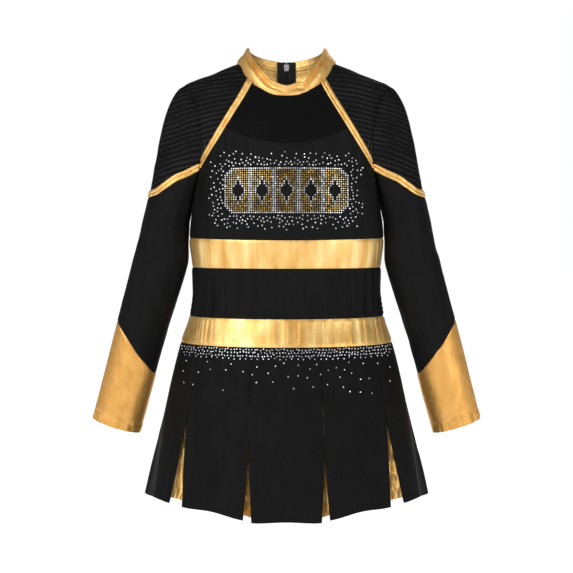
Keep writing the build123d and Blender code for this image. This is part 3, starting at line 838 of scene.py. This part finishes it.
def sleeve_threads():
    """Lines down the sleeve from the armhole to the wrist, one to each turn."""
    turn = np.linspace(0, 2 * pi, TURNS, endpoint=False)
    start = body(*armhole(turn))
    join = sleeve_tube(turn, np.full(TURNS, SLEEVE_FREE))
    span = np.linalg.norm(join - start, axis=1, keepdims=True)
    over = np.maximum(np.cos(turn), 0)[:, None] ** 2
    leave = unit(lerp(unit(join - start), np.array([0.85, 0, -0.5]), over)) * span * lerp(0.9, 0.62, over)
    arrive = ALONG * span
    share = np.linspace(0, 1, 160)[:, None, None]
    upper = (
        (1 + 2 * share) * (1 - share) ** 2 * start
        + share * (1 - share) ** 2 * leave
        + share**2 * (3 - 2 * share) * join
        + share**2 * (share - 1) * arrive
    )
    below = np.linspace(SLEEVE_FREE, SLEEVE[-1][0], THREAD_ROWS - 159)[1:, None]
    lower = sleeve_tube(turn[None, :], below + 0 * turn[None, :])
    lines = np.concatenate([upper, lower])
    steps = np.linalg.norm(np.diff(lines, axis=0), axis=2)
    return turn, lines, np.concatenate([np.zeros((1, TURNS)), np.cumsum(steps, axis=0)])


turn_of, threads, thread_runs = sleeve_threads()


def crossing(line):
    """How far down each thread it crosses a front view line, given as a function z of x."""
    above = threads[..., 2] - line(threads[..., 0])
    found = np.argmax(above < 0, axis=0)
    at = np.maximum(found, 1)
    one = np.arange(TURNS)
    before, after = above[at - 1, one], above[at, one]
    share = np.clip(before / (before - after + 1e-9), 0, 1)
    runs = lerp(thread_runs[at - 1, one], thread_runs[at, one], share)
    return np.where(found == 0, 0, runs)


def on_threads(runs):
    """Points at the given distances down the threads, a row of distances at a time."""
    made = np.empty((*runs.shape, 3))
    for column in range(TURNS):
        for axis in range(3):
            line = threads[:, column, axis]
            made[:, column, axis] = np.interp(runs[:, column], thread_runs[:, column], line)
    return made


def cuff_line(x):
    (x0, z0), (x1, z1) = CUFF_SEAM
    return z0 + (x - x0) * (z1 - z0) / (x1 - x0)


chevron_run = np.maximum(crossing(chevron_z), CHEVRON_HALF * 0.4)
cuff_run = crossing(cuff_line)
hem_run = thread_runs[-1] - CUFF_SLANT * (1 + np.cos(turn_of)) / 2
around_mm = turn_of * SLEEVE_RADIUS
INNER_EDGE = np.exp(-(((turn_of - pi) / 0.9) ** 2))


def sleeve_part(node, start, end, rows, lift, finish, rider, thick=CLOTH):
    """A part of the sleeve between two distances down its threads, turned so that its rows go up."""
    share = np.linspace(0, 1, rows)[:, None]
    runs = lerp(start[None, :], end[None, :], share)
    base = on_threads(runs)
    normals = grid_normals(base[::-1, ::-1], wrap=True)
    raised = lift(runs, share)
    thick = np.broadcast_to(thick, raised.shape) if np.isscalar(thick) else thick
    held = "hung" if finish != "mesh" else "stretched"
    shape = base[::-1, ::-1], normals, raised[::-1, ::-1]
    return cloth(node, *shape, finish, held=held, rider=rider, wrap=True, thick=thick[::-1, ::-1])


def cap_lift(seed):
    def lift(runs, share):
        drift = 0.6 * noise(seed, around_mm[None, :] / 22, runs / 18) * np.sin(pi * share)
        return 0.1 + drift + seam_dip(runs, 1.6, 4.5)

    return lift


def sleeve_lift(seed):
    """Long soft folds down the arm, deeper towards the elbow, with a hollow below the binding."""

    def lift(runs, share):
        long_folds = folds(seed, around_mm[None, :], runs + around_mm[None, :] * 0.5, 20.0, 150.0) * 2.3
        elbow = np.exp(-(((runs - 235) / 55) ** 2))
        slanted = (runs + around_mm[None, :] * 0.35) / 20
        cross = noise(seed + 5, around_mm[None, :] / 40, slanted) * elbow * 1.2
        ends = seam_dip(runs - chevron_run - CHEVRON_HALF, 0.5, 3) + seam_dip(cuff_run - runs, 0.7, 1.8)
        clear = -0.9 * INNER_EDGE[None, :]
        return 0.3 + (long_folds + cross) * (1 - 0.6 * INNER_EDGE[None, :]) + ends + clear

    return lift


HEM_STITCH = 15.0
HEM_ROWS_APART = 3


def cuff_lift(seed):
    """Smooth foil with faint blotches, a stitched hem and puckers below the stitching."""

    def lift(runs, share):
        blotches = 0.4 * noise(seed, around_mm[None, :] / 17, runs / 40)
        blotches = blotches + 0.1 * noise(seed + 1, around_mm[None, :] / 6, runs / 12)
        left = hem_run[None, :] - runs
        below = smooth(HEM_STITCH + 3, HEM_STITCH - 5, left)
        pucker = folds(seed + 4, around_mm[None, :], left, 7.0, 22.0) * below
        second = left - HEM_STITCH + HEM_ROWS_APART
        rows = seam_dip(left - HEM_STITCH, 0.45, 0.8) + seam_dip(second, 0.45, 0.8)
        return 0.3 + blotches + 1.3 * pucker + rows + seam_dip(runs - cuff_run, 0.7, 1.6)

    return lift


def hem_edge(runs, depth=CLOTH):
    """A folded hem is doubled and rounds off at its end."""
    left = hem_run[None, :] - runs
    doubled = lerp(depth * 1.7, depth, smooth(HEM_STITCH - 1, HEM_STITCH + 1, left))
    return doubled * np.sqrt(np.clip(left / 1.2, 0.03, 1))


def chevron_binding(node, seed):
    centre = on_threads(chevron_run[None, :])[0]
    near = on_threads(np.stack([chevron_run + 2, chevron_run - 2]))
    around = grid_run(centre, wrap=True)
    normals = unit(np.cross(around, near[0] - near[1]))
    flipped = slice(None, None, -1)
    line, outward = centre[flipped], normals[flipped]
    return ribbon(node, line, outward, BINDING_HALF, 0.5, seed, side_of(node), 0.45, wrap=True)


for side in ("left", "right"):
    seed = 101 if side == "left" else 151
    upper_end = np.maximum(chevron_run - 1.5, 1.2)
    cap = np.zeros(TURNS), upper_end
    sleeve_part(f"sleeve_cap_mesh_{side}", *cap, 90, cap_lift(seed), "mesh", side, thick=0.6)
    chevron_binding(f"sleeve_trim_{side}", seed + 2)
    sleeve_part(f"sleeve_{side}", upper_end, cuff_run, 170, sleeve_lift(seed + 4), "black", side)
    shares = np.linspace(0, 1, 170)[:, None]
    cuff_runs = lerp(cuff_run[None, :], hem_run[None, :], shares)
    edge, creases = hem_edge(cuff_runs), cuff_lift(seed + 8)
    sleeve_part(f"cuff_{side}", cuff_run, hem_run, 170, creases, "cuff", f"{side}_sleeve", thick=edge)

# ---------------------------------------------------------------- collar
COLLAR_THICK = 1.5
FACING_ROWS = (5.0, 10.0, 15.0)  # stitched rows inside, down from the lip


def collar_point(angle, z):
    front, back = collar_front(z), collar_back(z)
    turn = np.radians(angle)
    return stack(collar_width(z) * np.sin(turn), (front + back) / 2 - (back - front) / 2 * np.cos(turn), z)


def collar_lip(angle):
    at, half, drop = LIP_FOLD
    return collar_top(np.abs(angle)) - drop * np.exp(-(((angle - at) / half) ** 2))


# How deep the collar is hollowed below its lip, and how far the lip rolls out, by angle.
collar_valley = smooth_line([(0, 1.0), (12, 1.6), (30, 4.2), (48, 4.6), (64, 2.6), (85, 0.8), (180, 0.4)])
collar_roll = smooth_line([(0, 0.8), (50, 1.2), (80, 0.3), (180, 0.1)])


def collar_grid():
    """The collar's middle surface with its rolls, from one back edge round the front to the other."""
    end = 180 - np.degrees(ZIP_OPENING / 66)
    angle = np.linspace(-end, end, 420)[None, :]
    share = np.linspace(0, 1, 46)[:, None]
    around = np.abs(angle)
    low, high = collar_base(around), collar_lip(angle)
    z = lerp(low, high, share)
    points = collar_point(angle + 0 * z, z)
    drop = (1 - share) * (high - low)
    valley, lip = collar_valley(around), collar_roll(around)
    hollow = -valley * np.exp(-(((drop - 8.5) / 4.2) ** 2))
    roll = lip * np.exp(-(((drop - 2) / 2.5) ** 2)) + 1.2 * np.exp(-(((share - 0.28) / 0.25) ** 2))
    ripple = 0.28 * folds(211, angle * 1.1 + share * 9, share * 30, 16.0, 30.0) * smooth(0, 0.2, share)
    base_seam = seam_dip(share * (high - low), 0.6, 1.6)
    return angle, share, points, hollow + roll + ripple + base_seam


def collar():
    angle, share, points, lift = collar_grid()
    normals = grid_normals(points)
    drop = (1 - share) * (collar_lip(angle) - collar_base(np.abs(angle)))
    thick = COLLAR_THICK * np.sqrt(np.clip(drop / 1.4, 0.03, 1))
    for row in FACING_ROWS:
        thick = thick - 0.35 * np.exp(-(((drop - row) / 0.7) ** 2))
    middle = points + normals * (lift + COLLAR_THICK * 0.35)[..., None]
    outer = middle + normals * (thick / 2)[..., None]
    inner = middle - normals * (thick / 2)[..., None]
    piece = shell("collar_cloth", outer, inner, list(FINISHES["foil"][1:]))
    hold(piece, "dress")
    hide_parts("collar")
    return inner, normals, drop


collar_inside, collar_normals, collar_drop = collar()

# ---------------------------------------------------------------- skirt


def skirt_panel(node, first, last):
    """A pressed panel between two pleats; each is (pleat, which edge, mirrored, back)."""
    z = evenly(HEM, LOWER_BAND[0] + 1.5, 1.9)[:, None]
    start, end = first(z), last(z)
    share = np.linspace(0, 1, 60)[None, :]
    angle = lerp(start, end, share)
    seed = 300 + sum(ord(letter) for letter in node) % 83
    down = smooth(LOWER_BAND[0] - 30, HEM, z)
    edges = np.exp(-((share / 0.10) ** 2)) + np.exp(-(((1 - share) / 0.10) ** 2))
    press = 1.6 * edges * down - 1.3 * np.exp(-((np.minimum(share, 1 - share) / 0.022) ** 2)) * (1 - down)
    left = z - HEM
    hem = seam_dip(left - 10, 0.25, 1.0)
    lift = skirt_lift(angle, z, seed) + press + hem
    dip = 2.6 * np.cos(2 * pi * share) * smooth(HEM + 80, HEM, z)
    base = body(angle, risen(angle, z) - dip / 2)
    thick = CLOTH * 1.2 * np.sqrt(np.clip(left / 1.2, 0.03, 1)) + 0 * angle
    cloth(node, base, grid_normals(base), lift, "black", held="hung", thick=thick)


def edge_of(pleat, high, back=False, flip=False):
    """A panel edge as a function of height: a pleat's lower or higher edge on any quarter of the skirt."""

    def angle(z):
        found = skirt_edges(z, pleat)[1 if high else 0]
        found = 180 - found if back else found
        return -found if flip else found

    return angle


skirt_panel("skirt_panel_front", edge_of(0, False, flip=True), edge_of(0, False))
skirt_panel("skirt_panel_back", edge_of(0, False, back=True), lambda z: 360 - edge_of(0, False, back=True)(z))
for side in ("left", "right"):
    skirt_panel(f"skirt_panel_front_{side}", edge_of(0, True), edge_of(1, False))
    skirt_panel(f"skirt_panel_side_front_{side}", edge_of(1, True), edge_of(2, False))
    skirt_panel(f"skirt_panel_side_back_{side}", edge_of(2, False, back=True), edge_of(1, True, back=True))
    skirt_panel(f"skirt_panel_back_{side}", edge_of(1, False, back=True), edge_of(0, True, back=True))

INSERT_HEM = HEM + 5.5
INSERT_DEPTH = 13.0
INSERT_STEP = 1.3
INSERT_STITCHES = (13.0, 16.0)  # up from the insert's hem
insert_rows = []


def pleat_insert(number, pleat, back, flip):
    """A gold gusset in a shallow V behind the gap between two panels."""
    top = PLEATS[pleat][3] + 26
    z = evenly(INSERT_HEM, top, INSERT_STEP)[:, None]
    low, high = skirt_edges(z, pleat)
    if back:
        low, high = 180 - high, 180 - low
    middle = (low + high) / 2
    reach = (high - low) / 2 + 3.2
    share = np.linspace(-1, 1, 48)[None, :]
    angle = middle + reach * share
    open_by = smooth(top, HEM, z)
    fold = INSERT_DEPTH * open_by * (1 - np.abs(share) ** 1.3)
    across = share * 18
    crumple = folds(400 + number, across, z + across, 4.5, 24.0) * 1.1
    crumple = crumple + noise(440 + number, across / 5, z / 9) * 0.7
    rows = seam_dip(z - INSERT_HEM - 13, 0.4, 0.8) + seam_dip(z - INSERT_HEM - 16, 0.4, 0.8)
    puckers = 1.7 * crumple * (0.3 + 0.7 * open_by) * (1 - share**6)
    lift = skirt_waves(angle, z) - lerp(3.8, 2.0, open_by) - fold + puckers + rows
    base = body(angle, risen(angle, z))
    normals = body_normal(angle, z + 0 * angle)
    if flip:
        base, normals, lift = mirrored(base), mirrored(normals), lift[:, ::-1]
    name = f"pleat_insert_{number}"
    piece = cloth("pleat_inserts", base, normals, lift + 0 * angle, "foil", held="folded", name=name)
    outer = base + normals * (lift + 0 * angle)[..., None]
    for height in INSERT_STITCHES:
        row = int(round(height / INSERT_STEP))
        insert_rows.append((outer[row, 3:-3], normals[row, 3:-3]))
    return piece


number = 0
for flip in (False, True):
    for pleat, back in ((0, False), (1, False), (2, False), (1, True), (0, True)):
        number += 1
        pleat_insert(number, pleat, back, flip)

# ---------------------------------------------------------------- stitching
STITCH, STITCH_GAP, THREAD_HALF = 2.0, 0.7, 0.19


def stitching(name, rows, material, rider):
    """Rows of short raised stitches; each row is a line of points with its normals."""
    points, faces = [], []
    for line, normals in rows:
        run = np.concatenate([[0], np.cumsum(np.linalg.norm(np.diff(line, axis=0), axis=1))])
        starts = np.arange(0.3, run[-1] - STITCH, STITCH + STITCH_GAP)
        for start in starts:
            ends = [[np.interp(s, run, line[:, k]) for k in range(3)] for s in (start, start + STITCH)]
            a, b = np.array(ends)
            up = unit(np.array([np.interp(start, run, normals[:, k]) for k in range(3)]))
            side = unit(np.cross(up, b - a)) * THREAD_HALF * 1.3
            middle = (a + b) / 2 + up * THREAD_HALF * 1.2
            first = len(points)
            ring = [middle + side, middle + up * THREAD_HALF, middle - side, middle - up * THREAD_HALF]
            points += [a, *ring, b]
            for k in range(4):
                one, two = first + 1 + k, first + 1 + (k + 1) % 4
                faces += [(first, two, one), (first + 5, one, two)]
    piece = add_mesh(name, points, faces, [material])
    hold(piece, rider)
    return piece


def collar_stitching():
    rows = []
    for depth in FACING_ROWS:
        row = np.abs(collar_drop - depth).argmin(axis=0)
        columns = np.arange(len(row))
        good = collar_drop[0] > depth + 3
        line = collar_inside[row, columns]
        inward = -collar_normals[row, columns]
        for half in np.split(columns, [len(row) // 2]):
            keep = half[good[half]]
            rows.append((line[keep], inward[keep]))
    return stitching("collar_facing_stitching", rows, GOLD_THREAD, "dress")


def cuff_stitching(side):
    seed = 109 if side == "left" else 159
    rows = []
    for back_off in (HEM_STITCH, HEM_STITCH - HEM_ROWS_APART):
        runs = (hem_run - back_off)[None, :] + np.array([[-1.0], [0.0], [1.0]])
        base = on_threads(runs)[:, ::-1][::-1]
        normals = grid_normals(base, wrap=True)
        lift = cuff_lift(seed)(runs, None)[:, ::-1][::-1]
        line = (base + normals * (lift[..., None] + 0.1))[1]
        if side == "right":
            line, direction = line[::-1] * (-1, 1, 1), normals[1][::-1] * (-1, 1, 1)
        else:
            direction = normals[1]
        rows.append((np.concatenate([line, line[:1]]), np.concatenate([direction, direction[:1]])))
    return stitching(f"cuff_hem_stitching_{side}", rows, GOLD_THREAD, f"{side}_sleeve")


collar_stitching()
for side in ("left", "right"):
    cuff_stitching(side)
stitching("pleat_insert_stitching", insert_rows, GOLD_THREAD, "dress")

# ---------------------------------------------------------------- zip
ZIP_AXES = (np.array([1.0, 0, 0]), unit(np.array([0, 1, BACK_LEAN])), unit(np.array([0, -BACK_LEAN, 1])))
ZIP_RANGE = (-370, 23.5)
TAPE_SIDES = (13, 0.25)  # outer and inner edge
COIL_PITCH = 1.25
COIL_RANGE = (-360, 20)
COIL_OUT, COIL_HEIGHT = -0.85, 1.45  # its middle, out of the back, and its section's height to width
COIL_RUNG = ((-0.35, 0.2), (0.2, 0.42), (1.6, 0.42), (2.2, 0.2))  # across, radius


def on_zip(x, out, up):
    """Points in the zip's own frame: across, out of the back, up the chain."""
    start = np.array([0, BACK_AT_NECK, 0])
    parts = [np.asarray(v, float)[..., None] * axis for v, axis in zip((x, out, up), ZIP_AXES)]
    return start + parts[0] + parts[1] + parts[2]


def zip_tape(side):
    """The woven tape, its inner edge rolled into a cord beside the coil."""
    up = evenly(*ZIP_RANGE, 2.0)[:, None]
    across = np.linspace(*TAPE_SIDES, 22)[None, :]
    sway = 0.12 * noise(511, across / 5, up / 30)
    out = -1.95 + 0.3 * np.exp(-(((across - 2.4) / 0.8) ** 2)) + sway
    base = on_zip(across + 0 * up, out, up + 0 * across)
    outward = np.broadcast_to(ZIP_AXES[1], base.shape)
    cloth(f"zip_tape_{side}", base, outward, 0 * out, "tape", thick=0.55)


def tooth_row(side):
    """The coil of one side: a rounded rung for each turn, meeting the other side's in the middle."""
    sign = 1 if side == "left" else -1
    phase = 0.0 if side == "left" else COIL_PITCH / 2
    points, faces = [], []
    for up in np.arange(COIL_RANGE[0] + phase, COIL_RANGE[1], COIL_PITCH):
        first = len(points)
        for x, radius in COIL_RUNG:
            for corner in range(8):
                turn = corner * pi / 4
                out = COIL_OUT + radius * COIL_HEIGHT * sin(turn)
                points.append(on_zip(sign * x, out, up + radius * cos(turn)))
        for ring in range(3):
            for corner in range(8):
                a, b = first + ring * 8 + corner, first + ring * 8 + (corner + 1) % 8
                quad = (a, a + 8, b + 8, b)
                faces.append(quad if sign > 0 else quad[::-1])
        caps = (tuple(range(first, first + 8)), tuple(range(first + 31, first + 23, -1)))
        faces += [cap if sign > 0 else cap[::-1] for cap in caps]
    piece = add_mesh(f"zip_coil_{side}", points, faces, [COIL])
    hold(piece, "dress")
    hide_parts(f"zip_teeth_{side}")


for side in ("left", "right"):
    zip_tape(side)
    tooth_row(side)

for node in ("zip_slider", "zip_pull", "zip_bottom_stop", "zip_top_stop_left", "zip_top_stop_right"):
    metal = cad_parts[node]
    metal.data.materials.clear()
    metal.data.materials.append(NICKEL)
    rounding = metal.modifiers.new("rounding", "BEVEL")
    rounding.width = 0.00012
    rounding.segments = 2
    rounding.limit_method = "ANGLE"
    rounding.angle_limit = radians(40)

# ---------------------------------------------------------------- stones


def lifted(lift, angle, z):
    """A place on the creased cloth, with its outward direction."""
    return body(angle, z) + body_normal(angle, z) * lift(angle, z)[..., None]


def seat(lift, x, z):
    """Where stones at front view positions sit, and which way they face."""
    angle = angle_at(x, z)
    here = lifted(lift, angle, z)
    right = lifted(lift, angle + 0.35, z) - lifted(lift, angle - 0.35, z)
    up = lifted(lift, angle, z + 0.8) - lifted(lift, angle, z - 0.8)
    return here, unit(np.cross(right, up))


def stone_field(name, node, slot, material, centres, outward, radius, seed):
    """Cut stones: eight-sided, with a flat table and sixteen facets round it."""
    draw = np.random.default_rng(seed)
    centres = centres + outward * 0.05
    tilt = unit(outward + draw.normal(0, 0.07, outward.shape))
    right = unit(np.cross(np.array([0, 0, 1.0]), tilt))
    up = np.cross(tilt, right)
    spin = draw.uniform(0, pi / 4, len(centres))
    size = radius * draw.uniform(0.93, 1.05, len(centres))
    rings = []
    for share, height, twist in ((1.0, 0.0, 0.0), (1.0, 0.22, 0.0), (0.58, 0.72, pi / 8)):
        for corner in range(8):
            turn = spin + corner * pi / 4 + twist
            flat = np.cos(turn)[:, None] * right + np.sin(turn)[:, None] * up
            rings.append(centres + flat * (size * share)[:, None] + tilt * (size * height)[:, None])
    points = np.stack(rings, axis=1).reshape(-1, 3)
    cell = [tuple(range(16, 24)), tuple(range(7, -1, -1))]
    for corner in range(8):
        after = (corner + 1) % 8
        cell.append((corner, after, 8 + after, 8 + corner))
        cell.append((8 + corner, 8 + after, 16 + corner))
        cell.append((8 + after, 16 + after, 16 + corner))
    faces = [[24 * k + vertex for vertex in face] for k in range(len(centres)) for face in cell]
    piece = add_mesh(name, points, faces, [material], sharp=8)
    hold(piece, "dress")
    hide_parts(node)
    return piece


# The motif in stones: half a plate's columns and rows, a tile's columns, its corner, its hole and rim.
PLATE, TILE, CORNER = (28, 10), 11, 35
HOLE, HOLE_RIM = (2.7, 4.7), (3.9, 6.0)


def motif_stones():
    """Five tiles of gold stones; clear ones round the plate, between the tiles and round their holes."""
    column, row = (cells.ravel() for cells in np.meshgrid(np.arange(-28, 29), np.arange(-10, 11)))
    across, up = np.abs(column), np.abs(row)
    local = np.abs((column + TILE // 2) % TILE - TILE // 2)
    hole, rim = (local / wide + up / tall for wide, tall in (HOLE, HOLE_RIM))
    shown = (across + up <= CORNER) & (hole > 1)
    outline = (across == PLATE[0]) | (up == PLATE[1]) | (across + up >= CORNER - 1)
    clear = shown & (outline | (rim <= 1) | ((local == TILE // 2) & (across < PLATE[0] - 1)))
    gold = shown & ~clear
    x, z = column * STONE_PITCH, MOTIF_MIDDLE + row * STONE_PITCH
    return (x[gold], z[gold]), (x[clear], z[clear])


def scatter(seed, count, width, height, spacing, keep):
    """Random places at least a spacing apart that pass a test of how likely each is."""
    draw = np.random.default_rng(seed)
    made = []
    for _ in range(count):
        x, z = draw.uniform(-width, width), draw.uniform(*height)
        if draw.uniform() > keep(x, z):
            continue
        near = any((x - a) ** 2 + (z - b) ** 2 < spacing**2 for a, b in made)
        if not near:
            made.append((x, z))
    return np.array(made).T


def around_motif(x, z):
    """Likely near the plate and rarer away from it."""
    beside = max(abs(x) - MOTIF_HALF_WIDTH, 0)
    above = max(abs(z - MOTIF_MIDDLE) - MOTIF_HALF_HEIGHT, 0)
    away = sqrt(beside**2 + above**2)
    if away < 3.0 or away > 22:
        return 0
    return 1 if away < 8 else 0.2 * (1 - (away - 8) / 15)


gold_places, clear_places = motif_stones()
halo = scatter(5, 9000, MOTIF_HALF_WIDTH + 24, (MOTIF_MIDDLE - 54, MOTIF_MIDDLE + 54), 3.8, around_motif)
gold_seats, clear_seats = seat(bodice_lift, *gold_places), seat(bodice_lift, *clear_places)
stone_field("chest_motif_gold_stones", "chest_motif", "gold_stones", GOLD_STONE, *gold_seats, 1.24, 61)
stone_field("chest_motif_outline", "chest_motif", "crystal", CRYSTAL, *clear_seats, 1.16, 62)
stone_field("chest_scatter", "chest_crystals", "crystal", CRYSTAL, *seat(bodice_lift, *halo), 1.1, 63)


def under_band(x, z):
    """Fewer and fewer going down."""
    return max(0.0, 1 - (LOWER_BAND[0] - z) / 68)


def skirt_places():
    """Three close rows under the band's seam, a loose one, then single stones."""
    draw = np.random.default_rng(8)
    rows = []
    for row, gap in enumerate((3.9, 4.0, 4.1, 7.6)):
        x = np.arange(-143 + row * 1.9, 143, gap)
        z = LOWER_BAND[0] - 3.4 - 3.9 * row + draw.normal(0, 0.55, len(x))
        rows.append(np.array([x + draw.normal(0, 0.5, len(x)), z]))
    rows.append(scatter(9, 260, 141, (LOWER_BAND[0] - 66, LOWER_BAND[0] - 19), 10.0, under_band))
    return np.concatenate(rows, axis=1)


def flat_skirt(angle, z):
    return 1.6 + 0 * angle


skirt_seats = seat(flat_skirt, *skirt_places())
stone_field("skirt_scatter", "skirt_crystals", "crystal", CRYSTAL, *skirt_seats, 1.05, 64)

# ---------------------------------------------------------------- stage, light and camera


def plain(name, colour, roughness):
    shade = Shade(name, Roughness=roughness, Specular_IOR_Level=0.2)
    shade.shader.inputs["Emission Color"].default_value = (1, 1, 1, 1)
    shade.shader.inputs["Emission Strength"].default_value = 0.95
    mottle = shade.cloud(shade.stretched(3, 3, 3), detail=2.0)
    shade.set("Base Color", shade.ramp(mottle, (0.3, colour), (0.7, colour * 1.01)))
    return shade.material


def area_light(name, place, aim, size, power):
    data = bpy.data.lights.new(name, "AREA")
    data.shape = "RECTANGLE"
    data.size, data.size_y = size
    data.energy = power
    lamp = bpy.data.objects.new(name, data)
    lamp.location = place
    lamp.rotation_euler = (Vector(aim) - Vector(place)).to_track_quat("-Z", "Y").to_euler()
    bpy.context.scene.collection.objects.link(lamp)


FLOOR_Z = -760.0
FLOOR_HALF = 9000
floor = add_mesh(
    "floor",
    [(x * FLOOR_HALF, y * FLOOR_HALF, FLOOR_Z) for x, y in ((-1, -1), (1, -1), (1, 1), (-1, 1))],
    [(0, 1, 2, 3)],
    [plain("studio_floor", 0.35, 0.9)],
)
floor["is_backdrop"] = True

world = bpy.data.worlds.new("studio")
bpy.context.scene.world = world
world.use_nodes = True
backdrop = world.node_tree.nodes["Background"]
backdrop.inputs["Color"].default_value = (1, 1, 1, 1)
seen = world.node_tree.nodes.new("ShaderNodeLightPath").outputs["Is Camera Ray"]
strength = world.node_tree.nodes.new("ShaderNodeMapRange")
strength.inputs["To Min"].default_value = 0.26
strength.inputs["To Max"].default_value = 1.0
world.node_tree.links.new(seen, strength.inputs["Value"])
world.node_tree.links.new(strength.outputs["Result"], backdrop.inputs["Strength"])

area_light("key_softbox", (-1.3, -2.0, 0.9), (0, 0, -0.25), (1.9, 2.0), 37)
area_light("fill_softbox", (1.5, -1.9, 0.3), (0, 0, -0.3), (0.7, 1.8), 16)
area_light("rim_softbox", (0.6, 1.9, 1.2), (0, 0, -0.2), (1.8, 1.2), 9)

LENS = 55.4
CAMERA_PLACE = (0, -1.2416, -0.2286)
CAMERA_DIP = 3.18  # degrees below level
camera_data = bpy.data.cameras.new("camera")
camera_data.sensor_width = 36
camera_data.lens = LENS
camera = bpy.data.objects.new("camera", camera_data)
camera.location = CAMERA_PLACE
camera.rotation_euler = (radians(90 - CAMERA_DIP), 0, 0)
bpy.context.scene.collection.objects.link(camera)
bpy.context.scene.camera = camera
bpy.context.scene.view_settings.view_transform = "Standard"

low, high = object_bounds()
